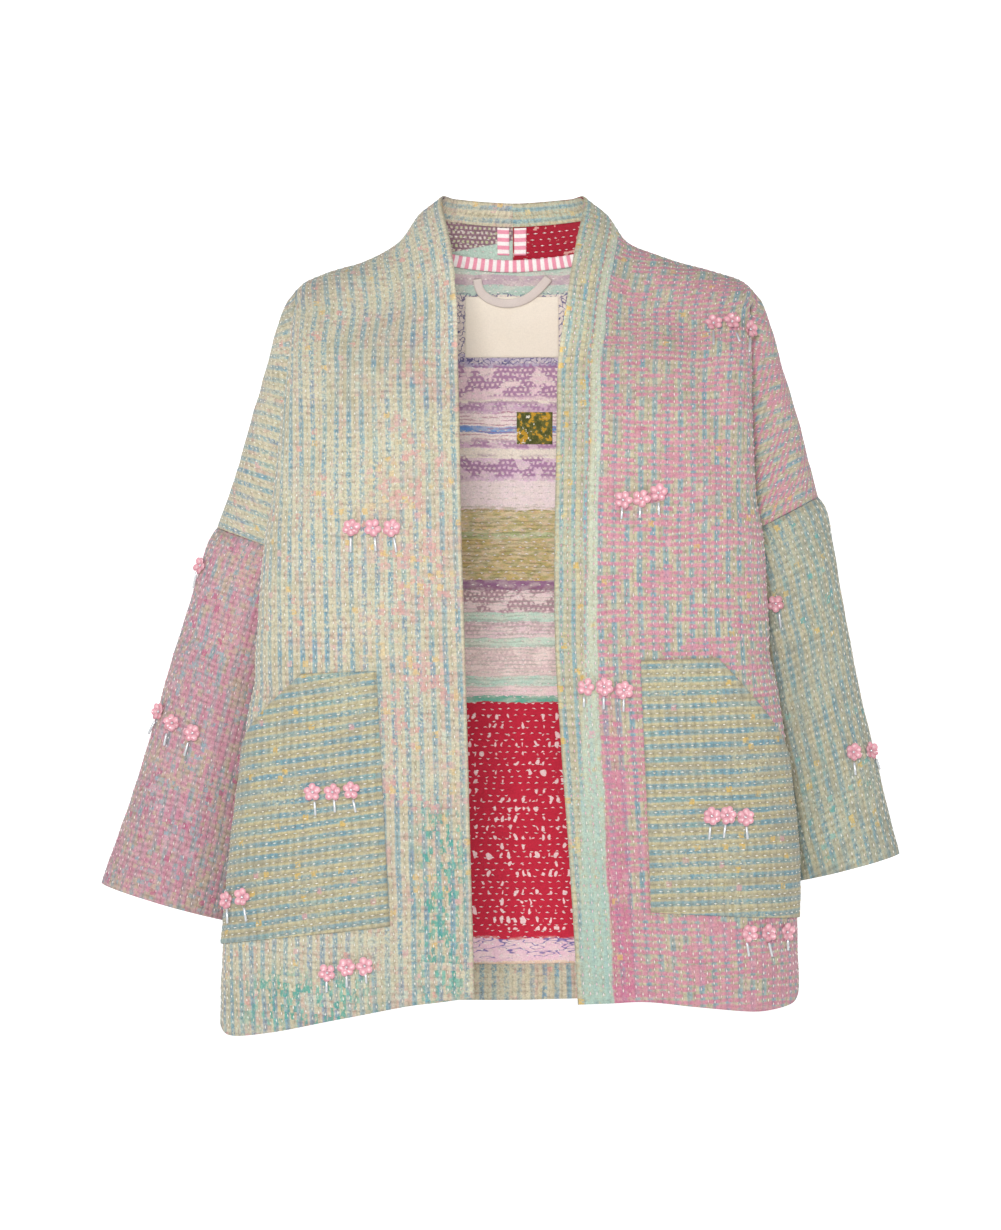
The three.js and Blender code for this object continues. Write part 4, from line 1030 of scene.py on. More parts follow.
def inside_cloth():
    """Bands of patched cloth across the inside of the back."""
    net = Net("inside of the back")
    x, depth = net.x, 105
    z = net.z + (net.noise(net.x, net.z, 111, 22) - 0.5) * 5
    z = z + (net.noise(net.x, net.z, 110, 2.5) - 0.5) * 2
    top, bottom = picture_height(180, depth), picture_height(1000, depth)
    stops = []
    for y, code in INSIDE_BANDS:
        stops.append(((picture_height(y, depth) - top) / (bottom - top), code))

    def rows(first, last, soft=1):
        return net.between(z, picture_height(last, depth), picture_height(first, depth), soft)

    colour = net.ramp((z - top) / (bottom - top), stops)
    mottle = net.patches(x * 0.45, net.z, 109, 5.0, 0.5, 0.12, 3.0)
    light = 1 - rows(702, 937)
    colour = net.mix(mottle * light * 0.38, colour, "EBDFD2")
    # Lace of pale dots on plum
    dot_x = x + (net.noise(x, net.z, 112, 8) - 0.5) * 6
    dot_z = net.z + (net.noise(x, net.z, 108, 9) - 0.5) * 5
    dots = net.dots(dot_x, dot_z, 4.6, 4.4, 2.3)
    patches = net.patches(x, net.z * 1.5, 113, 17, 0.45, 0.03, 3.0)
    lace = rows(366, 398, 2) + rows(402, 411) * 0.8 + rows(440, 448) * 0.8 + rows(456, 478, 3)
    lace = lace * patches
    colour = net.mix(lace * (1 - dots) * 0.75, colour, "935A90")
    brown = (rows(587, 612, 2) + rows(620, 635, 2) * 0.5 + rows(645, 675, 2) * 0.35) * patches
    colour = net.mix(brown * (1 - dots) * 0.7, colour, "8E6072")
    scroll = net.step(net.math("ABSOLUTE", net.noise(x, net.z, 114, 4.5, 1.0) - 0.5), 0.04, 0.02)
    colour = net.mix(rows(297, 366) * (1 - scroll) * 0.85, colour, "48447C")
    lines = net.stripes(z, 3.4, 1.0, 0.4) * net.patches(x, net.z * 4, 115, 16, 0.47, 0.04)
    colour = net.mix(lines * rows(411, 440) * 0.7, colour, "A9647C")
    olive = rows(507, 580)
    gold = net.patches(x * 0.5, net.z * 1.6, 107, 5.0, 0.52, 0.08, 3.0)
    colour = net.mix(olive * gold * 0.5, colour, "8E9865")
    pale = net.patches(x * 0.7, net.z * 1.6, 106, 4.0, 0.6, 0.05, 2.0)
    colour = net.mix(olive * pale * 0.45, colour, "DDB39C")
    colour = net.mix(lines * olive * 0.5, colour, "6F6238")
    colour = net.mix(lines * rows(587, 700) * 0.45, colour, "8F9F8C")
    # Pale oval spots on the red, of many sizes and gathered in rows
    spot_x = x + (net.noise(x, net.z, 126, 9) - 0.5) * 9
    spot_z = net.z + (net.noise(x, net.z, 127, 8) - 0.5) * 8
    across = net.math("ABSOLUTE", net.math("FRACT", spot_x / 6.2) - 0.5) * 6.2
    down = net.math("ABSOLUTE", net.math("FRACT", spot_z / 8.4) - 0.5) * 8.4
    spread = net.chance(spot_x / 6.2, spot_z / 8.4, 128) * 7.5
    spread = spread + net.noise(x * 0.4, net.z, 129, 26) * 7 - 7.4
    spot = net.step(spread - across * across - down * down * 0.4, 0, 0.5)
    colour = net.mix(spot * rows(712, 930, 0.6), colour, "ECCBCB")
    squiggle = net.math("ABSOLUTE", net.noise(x * 0.5, net.z * 2, 118, 9, 1.0) - 0.5)
    squiggle = net.step(squiggle, 0.02, 0.012)
    colour = net.mix(rows(938, 958) * (1 - squiggle) * 0.85, colour, "4C4C96")
    return net.finish(colour, x=net.x, y=net.z, grain=0.5)


def red_cloth():
    net = Net("red cloth")
    spots = net.patches(net.u, net.v * 0.7, 121, 5.0, 0.66, 0.02)
    return net.finish(net.mix(spots * 0.8, "A8142E", "E2B4A8"), grain=0.5)


def plum_cloth():
    net = Net("plum dotted cloth")
    u = net.x + (net.noise(net.x, net.z, 122, 6) - 0.5) * 3
    v = net.z + (net.noise(net.x, net.z, 123, 7) - 0.5) * 3
    dots = net.dots(u, v, 4.2, 4.0, 2.2)
    tint = net.ramp(net.noise(net.x, net.z, 124, 9), [(0, "D9CFC4"), (0.48, "C3CB9C"), (0.58, "DCC8C2")])
    colour = net.mix(dots * 0.9, "8C6C78", tint)
    wedge = 1 - net.step(net.z - net.x * 0.218, 28, 0.8)
    return net.finish(net.mix(wedge, colour, "B9D0C2"))


def tape_cloth():
    net = Net("striped tape v")
    lines = net.stripes(net.v, TAPE_STRIPE, TAPE_STRIPE / 2, 0.3)
    return net.finish(net.mix(lines, "FBF4F1", "EE9BB0"), 0.3, grain=0.25)


def plain_cloth(name, code, roughness=0.9):
    net = Net(name, roughness)
    tone = net.noise(net.u, net.v, 131, 18)
    return net.finish(net.mix(0.12 * tone, code, "FFFFFF"), 0.2, grain=0.12)


def patch_cloth():
    net = Net("patch cloth")
    olives = [(0, "4F5426"), (0.45, "6B6A33"), (0.56, "C99A2E")]
    colour = net.ramp(net.noise(net.u, net.v, 141, 5.0), olives)
    white = net.patches(net.u, net.v, 142, 3.4, 0.67, 0.02)
    return net.finish(net.mix(white, colour, "E8E4D2"))


def strip(name, path, normals, width, thickness):
    """A closed strip with a rounded flat section along a path."""
    sides = 16
    angle = np.arange(sides) * 2 * np.pi / sides
    across_share = 0.5 * np.sign(np.cos(angle)) * np.abs(np.cos(angle)) ** 0.6
    up_share = 0.5 * np.sign(np.sin(angle)) * np.abs(np.sin(angle)) ** 0.6
    along_path = np.gradient(path, axis=0)
    along_path /= np.linalg.norm(along_path, axis=1, keepdims=True)
    across = np.cross(along_path, normals)
    across /= np.linalg.norm(across, axis=1, keepdims=True)
    up = np.cross(across, along_path)
    rings = (path[:, None] + across[:, None] * (across_share * width)[None, :, None]
             + up[:, None] * (up_share * thickness)[None, :, None])
    length = np.concatenate([[0], np.cumsum(np.linalg.norm(np.diff(path, axis=0), axis=1))])
    count = len(path)
    number = np.arange(count * sides).reshape(count, sides)
    turned = np.roll(number, -1, 1)
    quads = np.stack([number[:-1], turned[:-1], turned[1:], number[1:]], -1).reshape(-1, 4)
    caps = np.stack([number[0][::-1], number[-1]])
    point_value = np.stack([np.broadcast_to(across_share * width, (count, sides)),
                            np.broadcast_to(length[:, None], (count, sides)),
                            np.zeros((count, sides))], -1).reshape(-1, 3)
    points = rings.reshape(-1, 3)
    volume = np.einsum("ij,ij->i", points[quads[:, 0]],
                       np.cross(points[quads[:, 1]], points[quads[:, 2]])).sum()
    if volume < 0:
        quads, caps = quads[:, ::-1], caps[:, ::-1]
    values = np.concatenate([point_value[f].reshape(-1, 3) for f in (quads, caps)])
    return new_object(name, points, [quads, caps], values)


def side_surface(name, columns=slice(None)):
    s = SURFACES[name, "main"]
    P = s["P"][:, columns]
    return Surface(P, s["N"][:, columns], u=s["u"][:, columns], x=P[..., 0], z=P[..., 2])


def back_surface():
    count = sum(DOWN_NECK) + 1
    left, right = SURFACES["left", "rear"], SURFACES["right", "rear"]
    P, N = (np.concatenate([right[k][:, count:0:-1], left[k][:, :count + 1]], 1) for k in "PN")
    return Surface(P, N, x=P[..., 0], z=P[..., 2])


def pocket_patch(name):
    """The pocket's grid on its front, from the opening's edge down to its bottom edge."""
    side, pocket = SIDES[name], POCKETS[name]
    sign = side["sign"]
    seen = side_surface(name, slice(0, LIP_COLUMN + 1))
    whole = side_surface(name)

    def corner(key):
        x, z = (np.array([value]) for value in pocket[key])
        r, c = seen.locate("x", sign * x, "z", z)
        return np.array([seen.sample(seen.fields["u"], r, c)[0], z[0]])

    top, tip, slant = corner("inner_top"), corner("top_corner"), corner("slant_at_lip")
    bottom, bottom_lip = corner("inner_bottom"), corner("bottom_at_lip")
    seam_u, seam_z = whole.fields["u"][:, -1], whole.fields["z"][:, -1]

    def to_seam(a, b):
        share = np.linspace(0, 4, 800)
        line = a + share[:, None] * (b - a)
        gap = np.interp(-line[:, 1], -seam_z, seam_u) - line[:, 0]
        k = int(np.argmax(gap < 0))
        f = gap[k - 1] / (gap[k - 1] - gap[k])
        return line[k - 1] + f * (line[k] - line[k - 1])

    slant_end, bottom_end = to_seam(tip, slant), to_seam(bottom, bottom_lip)
    first, second = 14, 28
    upper = np.concatenate([
        top + np.linspace(0, 1, first + 1)[:-1, None] * (tip - top),
        tip + np.linspace(0, 1, second + 1)[:, None] * (slant_end - tip)])
    share = (upper[:, 0] - upper[0, 0]) / (upper[-1, 0] - upper[0, 0])
    lower = bottom + share[:, None] * (bottom_end - bottom)
    t = np.linspace(0, 1, 135)[:, None, None]
    flat = upper[None] + t * (lower - upper)[None]
    D, Z = flat[..., 0], flat[..., 1]
    seam_at = np.interp(-Z[:, -1:], -seam_z, seam_u)
    D = D + (seam_at - D[:, -1:]) * share[None] ** 2
    r, c = whole.locate("u", D, "z", Z)
    P, N = whole.take(r, c)
    return {"P": P, "N": N, "u": -Z + POCKET_TILT[name] * D, "v": D, "flip": name == "right"}


def facing_patch(name):
    """The turned-in cloth along the collar's edge, from the centre back to the front."""
    main, neck = SURFACES[name, "main"], SURFACES[name, "neck"]
    wide, count = ACROSS_FRONT[0] + 1, 13
    joined = {k: np.concatenate([neck[k][:0:-1, :wide], main[k][:, :wide]]) for k in "PNuv"}
    whole = Surface(joined["P"], joined["N"])
    z = joined["P"][:, 0, 2]
    last = int(np.argmax(z < FACING_END))
    r = np.arange(last + 1, dtype=float)
    r[-1] = last - 1 + (z[last - 1] - FACING_END) / (z[last - 1] - z[last])
    u = np.linspace(0, FACING_WIDTH, count)
    lines = whole.sample(joined["u"], *np.meshgrid(r, np.arange(wide, dtype=float), indexing="ij"))
    c = Surface.inverse(lines.repeat(count, 0), np.tile(u, len(r))).reshape(len(r), count)
    R = np.repeat(r[:, None], count, 1)
    P, N = whole.take(R, c)
    v = whole.sample(joined["v"], R, c)
    return {"P": P, "N": N, "u": np.broadcast_to(u, R.shape), "v": v,
            "flip": name == "right", "w": 1}


def rectangle_patch(surface, box, cells):
    """A rectangle inside the back, as seen from the front."""
    left, right, top, bottom = box
    X, Z = np.meshgrid(np.linspace(left, right, cells[0]), np.linspace(top, bottom, cells[1]))
    r, c = surface.locate("x", X, "z", Z)
    P, N = surface.take(r, c)
    return {"P": P, "N": N, "u": X, "v": -Z, "flip": True, "raised": False}


def tape_patch(name):
    """The tape beside the collar's centre-back seam."""
    sign, (start, end) = SIDES[name]["sign"], COLLAR_TAPES[name]
    s = SURFACES[name, "neck"]
    surface = Surface(s["P"], s["N"], u=s["u"], x=s["P"][..., 0])
    U, X = np.meshgrid(np.linspace(FACING_WIDTH + 1, TAPE_REACH, 14),
                       np.linspace(sign * end, sign * start, 8))
    r, c = surface.locate("u", U, "x", X)
    P, N = surface.take(r, c)
    return {"P": P, "N": N, "u": X, "v": U, "flip": name == "left", "raised": False}


GREEN = green_cloth()
PINK = pink_cloth()
PINK_SLEEVE = pink_sleeve_cloth()
BLUE_SLEEVE = blue_sleeve_cloth()
POCKET = pocket_cloth()
BACK_INSIDE = inside_cloth()
RED = red_cloth()
PLUM = plum_cloth()
STRIPED = tape_cloth()
STRAP = plain_cloth("loop cloth", "D9CCC4")
LABEL_CLOTH = plain_cloth("label cloth", "F3E8D6", 0.7)
OLIVE = patch_cloth()

INSIDE = -CLOTH - LAYER_GAP  # where what lies inside a panel starts
ON_FRONT = CLOTH + LAYER_GAP  # where what lies on a front starts
for name in SIDES:
    left = name == "left"
    outer, inner = (PINK, RED) if left else (GREEN, PLUM)
    panels = [patch(SURFACES[name, part], w=w) for part, w in (("main", 0), ("neck", 1), ("arm", 2))]
    clothe(f"front_{name}_cloth", f"front_{name}", panels, 0, CLOTH, outer, inner)
    clothe(f"sleeve_{name}_cloth", f"sleeve_{name}", [patch(SURFACES[name, "sleeve"])], 0, CLOTH,
           BLUE_SLEEVE if left else PINK_SLEEVE)
    clothe(f"pocket_{name}_cloth", f"pocket_{name}", [pocket_patch(name)], ON_FRONT, CLOTH, POCKET)
    clothe(f"facing_{name}_cloth", f"facing_{name}", [facing_patch(name)], INSIDE, FACING, outer)
    tape = f"collar_tape_{name}"
    clothe(f"{tape}_cloth", tape, [tape_patch(name)], INSIDE, TAPE, STRIPED)

panels = [patch(SURFACES[name, part], w=w)
          for name in SIDES for part, w in (("rear", 0), ("rear_arm", 2))]
clothe("back_cloth", "back", panels, 0, CLOTH, GREEN, BACK_INSIDE)
panels = [patch(SURFACES[name, "rear"], rows=slice(-5, None), w=3) for name in SIDES]
clothe("hem_cloth", "hem_back", panels, INSIDE, FACING, GREEN)
REAR = back_surface()
clothe("label_cloth", "label", [rectangle_patch(REAR, LABEL, (36, 22))],
       INSIDE, THIN_CLOTH, LABEL_CLOTH)
clothe("patch_cloth", "patch", [rectangle_patch(REAR, PATCH, (20, 18))], INSIDE, THIN_CLOTH, OLIVE)

left_neck, right_neck = SURFACES["left", "neck"], SURFACES["right", "neck"]
neck_points, neck_normals = (
    np.concatenate([left_neck[k][6:, -1], right_neck[k][-2:5:-1, -1]]) for k in "PN")
tape_depth = CLOTH + LAYER_GAP + 0.2 + NECK_TAPE[1] / 2
obj = strip("neck_tape_cloth", neck_points - neck_normals * tape_depth, neck_normals, *NECK_TAPE)
dress(obj, "neck_tape", STRIPED)
loop_line = spline([(x, 0, z) for x, z in LOOP], [6] * (len(LOOP) - 1))
r, c = REAR.locate("x", loop_line[:, 0], "z", loop_line[:, 2])
loop_points, loop_normals = REAR.take(r, c)
loop_depth = CLOTH + 2 * LAYER_GAP + THIN_CLOTH + 0.2 + LOOP_STRAP[1] / 2
obj = strip("loop_cloth", loop_points - loop_normals * loop_depth, loop_normals, *LOOP_STRAP)
dress(obj, "hanging_loop", STRAP)


def turned(p):
    """The same patch with its rows and columns exchanged."""
    return {k: p[k].swapaxes(0, 1) for k in "PNuv"}


def stitch_rows(p, lift, length=STITCH, edge=2.5, skip=0.03):
    """Ends, middles and normals of running stitches along rows of constant u.

    They stop short of the edge, and a few are left out.
    """
    surface = Surface(p["P"], p["N"])
    u, v = p["u"], p["v"]
    rows = np.arange(u.shape[0], dtype=float)
    found = []
    first, last = math.ceil((u.min() + edge) / ROW_PITCH), math.floor((u.max() - edge) / ROW_PITCH)
    for k in range(first, last + 1):
        goal = np.full(len(rows), k * ROW_PITCH)
        inside = (u.min(1) + edge < goal) & (u.max(1) - edge > goal)
        if inside.sum() < 2:
            continue
        columns = Surface.inverse(u, goal)
        heights = surface.sample(v, rows, columns)
        inside = np.flatnonzero(inside)
        for run in np.split(inside, np.flatnonzero(np.diff(inside) > 1) + 1):
            if len(run) < 2:
                continue
            climb = heights[run] * np.sign(heights[run[-1]] - heights[run[0]])
            low, high = climb[0] + edge, climb[-1] - edge
            if high - low < STITCH_STEP:
                continue
            at = np.arange(low + RNG.uniform(0, STITCH_STEP), high - length / 2, STITCH_STEP)
            at = at + RNG.uniform(-0.7, 0.7, len(at))
            at = at[RNG.uniform(size=len(at)) > skip]
            half = length / 2 * RNG.uniform(0.8, 1.15, len(at))
            three = np.stack([at - half, at, at + half], 1)
            r = np.interp(three, climb, rows[run])
            c = np.interp(r, rows[run], columns[run]) + RNG.uniform(-0.12, 0.12, r.shape)
            found.append(np.stack([r, c], -1))
    where = np.concatenate(found)
    P, N = surface.take(where[..., 0], where[..., 1])
    return P + N * lift, N


def stitches(name, parts, material, width=1.15, height=0.6):
    """One joined mesh of running stitches."""
    P, N = (np.concatenate(kind) for kind in zip(*parts))
    way = P[:, 2] - P[:, 0]
    way /= np.linalg.norm(way, axis=1, keepdims=True)
    up = N[:, 1]
    side = np.cross(way, up)
    side /= np.linalg.norm(side, axis=1, keepdims=True)
    middle = P[:, 1]
    wide = RNG.uniform(0.85, 1.15, (len(P), 1)) * width / 2
    points = np.stack([
        P[:, 0] - up * height * 0.4, P[:, 2] - up * height * 0.4,
        middle - side * wide, middle + side * wide,
        middle + up * height, middle - up * height * 0.7], 1)
    triangles = np.array([(0, 2, 4), (2, 1, 4), (1, 3, 4), (3, 0, 4),
                          (2, 0, 5), (1, 2, 5), (3, 1, 5), (0, 3, 5)])
    faces = (np.arange(len(P)) * 6)[:, None, None] + triangles[:, ::-1]
    tone = np.repeat(RNG.uniform(size=len(P)), 24)
    values = np.stack([tone * 50, tone * 20, tone], -1)
    obj = new_object(name, points.reshape(-1, 3), faces.reshape(-1, 3), values)
    obj.data.materials.append(material)
    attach(obj, "root")


def thread_material(name, codes):
    net = Net(name, 0.55, 0.1)
    count = len(codes)
    colour = net.ramp(net.w, [(k / count, code) for k, code in enumerate(codes)])
    net.put(net.shader.inputs["Base Color"], colour)
    return net.material


CREAM_THREAD = thread_material("cream thread", ["FBF8EE", "F1EEE2", "E2E8DE", "FFFDF6", "F3E8D8"])
PINK_THREAD = thread_material("pink thread", ["F8D6DE", "FDF0F0", "F0BCCA", "FAF3E8", "FBE2E6"])
ROSE_THREAD = thread_material("rose thread", ["F2C2CE", "ECACBE", "FAE0E4", "F8ECE8"])
WHITE_THREAD = thread_material("white thread", ["FFFAF6", "F8F0EC", "F0E4DE"])

for name in SIDES:
    left = name == "left"
    thread = PINK_THREAD if left else CREAM_THREAD
    main, neck = patch(SURFACES[name, "main"]), patch(SURFACES[name, "neck"])
    arm = turned(patch(SURFACES[name, "arm"]))
    made = [stitch_rows(p, ON_CLOTH) for p in (main, neck, arm)]
    stitches(f"front_{name}_stitches", made, thread)
    made = [stitch_rows(patch(SURFACES[name, "sleeve"]), ON_CLOTH)]
    stitches(f"sleeve_{name}_stitches", made, CREAM_THREAD if left else ROSE_THREAD)
    made = [stitch_rows(turned(pocket_patch(name)), ON_FRONT + ON_CLOTH, edge=2)]
    stitches(f"pocket_{name}_stitches", made, CREAM_THREAD)
made = [stitch_rows(p, ON_CLOTH) for name in SIDES
        for p in (patch(SURFACES[name, "rear"]), turned(patch(SURFACES[name, "rear_arm"])))]
stitches("back_stitches", made, CREAM_THREAD)

# Inside the back the rows show across it
inside = turned({"P": REAR.P - REAR.N * CLOTH, "N": -REAR.N,
                 "u": -REAR.P[..., 2], "v": REAR.P[..., 0]})
made = [stitch_rows(inside, 0.1, length=4.4, skip=0.08, edge=3)]
stitches("back_inside_stitches", made, WHITE_THREAD, 1.25, 0.6)
for name in SIDES:
    band = patch(SURFACES[name, "neck"], columns=slice(15, None))
    band = {**band, "P": band["P"] - band["N"] * CLOTH, "N": -band["N"]}
    made = [stitch_rows(band, 0.1, length=4.4)]
    stitches(f"collar_{name}_stitches", made, WHITE_THREAD, 1.2, 0.5)

# Flowers of sequins: centre, then the two ends of the bugle below, in the photo's pixels
FLOWERS = [
    (352, 528, 351, 538, 351, 552), (373, 528, 375, 538, 376, 551),
    (392, 528, 394, 538, 396.5, 552), (313, 792, 315, 802, 316, 815),
    (333, 792, 334.5, 800, 335.5, 812), (351.6, 790, 353.5, 800, 356, 812),
    (228, 900.5, 228.3, 909, 228.8, 923), (243, 897, 245, 908, 247, 921),
    (327.6, 972.5, 327, 981, 327, 992), (347, 967, 347, 976, 347, 987),
    (364.6, 966, 365.5, 974, 366.5, 983), (160, 712, 156, 722, 150, 734),
    (173, 723, 167.5, 734, 165, 745.5), (193, 733, 188.5, 743, 185, 755.5),
    (202, 566, 198, 573, 195, 588), (713.4, 324, 713.4, 332, 713.4, 345),
    (731.6, 322.6, 736, 334, 739, 342), (749, 330, 748.6, 340, 748, 352),
    (623, 500, 622, 508, 621.5, 519), (641, 498.5, 640, 507, 639.6, 518),
    (658, 493, 658.3, 503, 658.7, 515), (586, 687, 584, 697, 584, 707),
    (604, 686.5, 603.6, 697, 603.6, 709), (624, 690, 623.7, 699, 623.3, 711.5),
    (711.5, 816, 710, 827, 709, 839), (727, 815, 725, 825, 723.5, 837.5),
    (745, 817, 746, 827, 747, 839), (749, 933, 746.6, 943, 748.5, 956),
    (767, 933, 768, 943, 771, 956), (786, 932, 786.4, 939, 786.8, 950),
    (776, 603.5, 779, 614, 780.5, 627), (852.6, 752, 853.4, 763, 854.6, 775),
    (869.5, 751, 875, 760, 878, 769),
]


def outer_tree():
    """Ray tree over the outside cloth, in millimetres."""
    points, faces, start = [], [], 0
    for (name, part), s in SURFACES.items():
        points.append(s["P"].reshape(-1, 3))
        faces.append(grid_quads(s["u"].shape, start, s["flip"]))
        start += s["u"].size
    for name in SIDES:
        p = pocket_patch(name)
        points.append((p["P"] + p["N"] * ON_FRONT).reshape(-1, 3))
        faces.append(grid_quads(p["u"].shape, start, p["flip"]))
        start += p["u"].size
    return BVHTree.FromPolygons(np.concatenate(points).tolist(), np.concatenate(faces).tolist())


def pixel_ray(x, y):
    across = (x - PHOTO_WIDTH / 2) * MM_PER_PIXEL
    up = (PHOTO_HEIGHT / 2 - y) * MM_PER_PIXEL
    return Vector((across, -CAMERA[1], up)).normalized()


def seen_at(tree, x, y):
    point, normal, _, _ = tree.ray_cast(Vector(CAMERA), pixel_ray(x, y))
    if point is None:
        return None
    if normal.y > 0:
        normal = -normal
    normal = (normal + Vector((0, -0.4, 0))).normalized()
    return np.array(point), np.array(normal)


def beside(found, x, y):
    """The point so many pixels from a found one, at its depth, for an end off the cloth."""
    return found[0] + np.array([x, 0, -y]) * MM_PER_PIXEL, found[1]


def frame_on(normal):
    """Two directions square to the normal, the second pointing up."""
    across = np.cross((0, 0, 1), normal)
    across /= np.linalg.norm(across)
    return across, np.cross(normal, across)


def ring_solid(profile, sides):
    """Points and faces of a closed turned form: profile rows are radius and height."""
    angle = np.arange(sides) * 2 * np.pi / sides
    points = [(0, 0, profile[0][1])]
    for radius, height in profile[1:-1]:
        points += [(radius * np.cos(a), radius * np.sin(a), height) for a in angle]
    points.append((0, 0, profile[-1][1]))
    last = len(points) - 1
    faces = [(0, 1 + k, 1 + (k + 1) % sides) for k in range(sides)]
    for ring in range(len(profile) - 3):
        start = 1 + ring * sides
        for k in range(sides):
            a, b = start + k, start + (k + 1) % sides
            faces += [(a, a + sides, b), (b, a + sides, b + sides)]
    start = 1 + (len(profile) - 3) * sides
    faces += [(last, start + (k + 1) % sides, start + k) for k in range(sides)]
    return np.array(points, float), np.array(faces)


SEQUIN = ring_solid([(0, 0.1), (1.1, 0.2), (2.3, 0.75), (2.9, 1.25), (2.95, 1.1), (2.3, 0.45),
                     (1.1, -0.1), (0, -0.2)], 14)
BEAD = ring_solid([(0, 1.1), (0.75, 0.85), (1.2, 0.2), (1.15, -0.35), (0.6, -0.85), (0, -0.95)], 10)
BUGLE = ring_solid([(0, 0.5), (0.85, 0.49), (1, 0.46), (1, -0.46), (0.85, -0.49), (0, -0.5)], 10)


class Joined:
    """Many small solids gathered into one mesh."""

    def __init__(self):
        self.points, self.faces, self.values, self.count = [], [], [], 0

    def add(self, solid, origin, x_axis, y_axis, z_axis, scale=(1, 1, 1)):
        points, faces = solid
        axes = np.stack([x_axis, y_axis, z_axis]) * np.array(scale)[:, None]
        self.points.append(points @ axes + origin)
        radius = np.hypot(points[:, 0], points[:, 1])
        value = np.stack([radius, points[:, 2], np.full(len(points), self.count % 97)], -1)
        if np.linalg.det(axes) < 0:
            faces = faces[:, ::-1]
        self.values.append(value[faces].reshape(-1, 3))
        self.faces.append(faces + self.count)
        self.count += len(points)

    def build(self, name, material):
        obj = new_object(name, np.concatenate(self.points), np.concatenate(self.faces),
                         np.concatenate(self.values))
        obj.data.materials.append(material)
        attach(obj, "root")
        return obj


def glossy(name, rim, middle, roughness, metallic, coat):
    """Shiny, in one colour at the rim and a paler one in the middle as a painted highlight."""
    net = Net(name, roughness, 0.0)
    net.shader.inputs["Specular IOR Level"].default_value = 0.6
    net.shader.inputs["Metallic"].default_value = metallic
    net.shader.inputs["Coat Weight"].default_value = coat
    # Painted highlight: the middle paler than the rim, with some random tone
    tone = net.step(net.u, 1.0, 0.9) * 0.75 + net.noise(net.x, net.z, 151, 2.4) * 0.4
    net.put(net.shader.inputs["Base Color"], net.mix(tone, middle, rim))
    return net.material


def sew_flowers():
    tree = outer_tree()
    petals, silver = Joined(), Joined()
    for cx, cy, x0, y0, x1, y1 in FLOWERS:
        hit = seen_at(tree, cx, cy)
        if hit is None:
            continue
        centre, normal = hit
        across, up = frame_on(normal)
        count = 6 if RNG.uniform() < 0.6 else 5
        begin = RNG.uniform(0, 2 * np.pi)
        for k in range(count):
            angle = begin + k * 2 * np.pi / count + RNG.uniform(-0.12, 0.12)
            out = across * np.cos(angle) + up * np.sin(angle)
            tilt = RNG.uniform(0.15, 0.45)
            z_axis = normal * np.cos(tilt) - out * np.sin(tilt)
            x_axis = np.cross(up, z_axis)
            x_axis /= np.linalg.norm(x_axis)
            y_axis = np.cross(z_axis, x_axis)
            origin = centre + out * RNG.uniform(4.8, 5.4) + normal * (1.3 + 0.45 * (k % 2))
            size = RNG.uniform(1.0, 1.16)
            petals.add(SEQUIN, origin, x_axis, y_axis, z_axis, (size, size, size))
        petals.add(SEQUIN, centre + normal * 1.0, across, up, normal, (0.8, 0.8, 0.8))
        silver.add(BEAD, centre + normal * 2.1, across, up, normal)
        top = seen_at(tree, x0, y0) or beside(hit, x0 - cx, y0 - cy)
        low = seen_at(tree, x1, y1) or beside(top, x1 - x0, y1 - y0)
        a, b = (p + n * 1.7 for p, n in (top, low))
        way = b - a
        size = np.linalg.norm(way)
        way /= size
        side = np.cross(way, top[1])
        side /= np.linalg.norm(side)
        silver.add(BUGLE, (a + b) / 2, side, np.cross(way, side), way, (1.15, 1.15, size * 1.08))
    # The paler middle colours are painted highlights
    petals.build("sequin_flowers", glossy("pink sequins", "E19DAA", "F6D8DA", 0.24, 0.0, 0.7))
    silver.build("silver_beads", glossy("silver beads", "B4B9BF", "F2F4F5", 0.25, 0.35, 0.8))


sew_flowers()


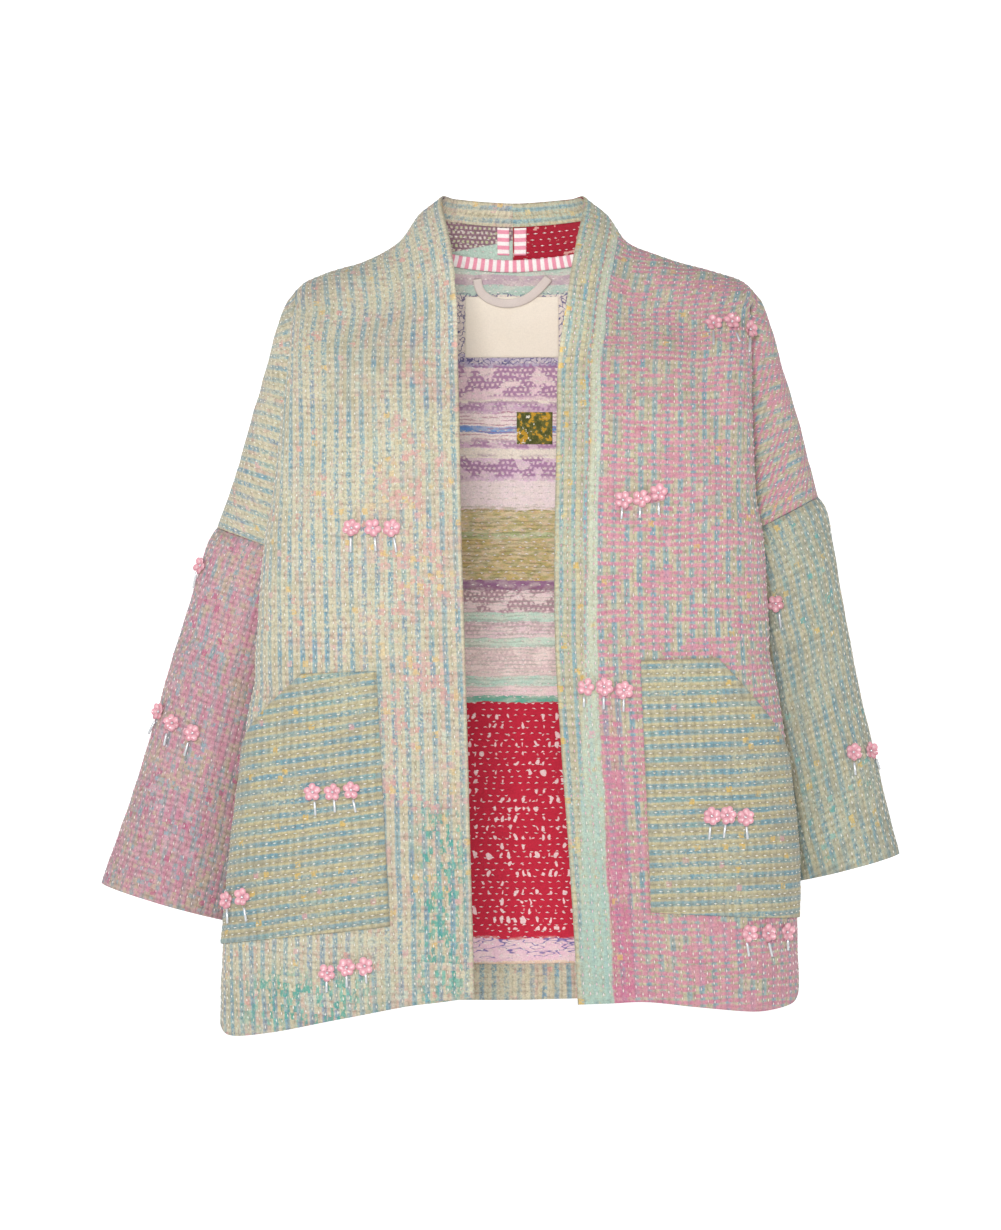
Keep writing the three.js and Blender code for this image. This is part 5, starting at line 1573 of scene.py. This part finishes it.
def studio(radius, floor_z, material):
    """A pale round floor that curves up into a wall."""
    bend = np.linspace(0, math.pi / 2, 13)
    r = np.concatenate([np.linspace(0.02, radius - 2, 5), radius - 2 + 2 * np.sin(bend[1:]), [radius]])
    z = np.concatenate([np.zeros(5), 2 * (1 - np.cos(bend[1:])), [3.6]]) + floor_z
    turn = np.arange(64) * 2 * np.pi / 64
    points = np.stack([r[:, None] * np.cos(turn), r[:, None] * np.sin(turn),
                       np.broadcast_to(z[:, None], (len(r), 64))], -1).reshape(-1, 3)
    number = np.arange(len(points)).reshape(len(r), 64)
    turned = np.roll(number, -1, 1)
    quads = np.stack([number[:-1], number[1:], turned[1:], turned[:-1]], -1).reshape(-1, 4)
    obj = new_object("studio_floor", points / MM, [quads, number[:1]])
    obj.data.materials.append(material)


def studio_material():
    """Pale, and lit up behind the jacket."""
    net = Net("studio", 1.0, 0.0)
    net.shader.inputs["Base Color"].default_value = (0.6, 0.6, 0.6, 1)
    net.shader.inputs["Emission Color"].default_value = (1, 1, 1, 1)
    node = net.add("ShaderNodeMapRange", net.y / 1000, -1.5, 0.7, 0.34, 0.85)
    net.put(net.shader.inputs["Emission Strength"], node.outputs[0])
    return net.material


studio(7.0, -0.95, studio_material())


def area_light(name, at, towards, size, power):
    data = bpy.data.lights.new(name, "AREA")
    data.shape = "RECTANGLE"
    data.size, data.size_y = size
    data.energy = power
    obj = bpy.data.objects.new(name, data)
    bpy.context.scene.collection.objects.link(obj)
    obj.location = at
    direction = Vector(towards) - Vector(at)
    obj.rotation_euler = direction.to_track_quat("-Z", "Y").to_euler()
    return obj


area_light("key", (-0.3, -3.35, 0.45), (0, 0, -0.3), (0.8, 0.8), 68)
area_light("upper", (-1.4, -2.2, 2.2), (0, 0, -0.2), (1.6, 1.6), 9)
# A small light in the front opening, as a reflector there would give
glow = area_light("opening", (0, -0.1, -0.3), (0, 1, -0.3), (0.07, 0.62), 0.16)
glow.visible_camera = False
world = bpy.context.scene.world or bpy.data.worlds.new("studio")
bpy.context.scene.world = world
world.use_nodes = True
world.node_tree.nodes["Background"].inputs["Color"].default_value = (1, 1, 1, 1)
world.node_tree.nodes["Background"].inputs["Strength"].default_value = 0.15

bpy.context.scene.view_settings.view_transform = "Standard"
camera_data = bpy.data.cameras.new("camera")
camera_data.lens = LENS
camera_data.sensor_width = SENSOR
camera = bpy.data.objects.new("camera", camera_data)
bpy.context.scene.collection.objects.link(camera)
camera.location = CAMERA * MM
camera.rotation_euler = (math.pi / 2, 0, 0)
bpy.context.scene.camera = camera
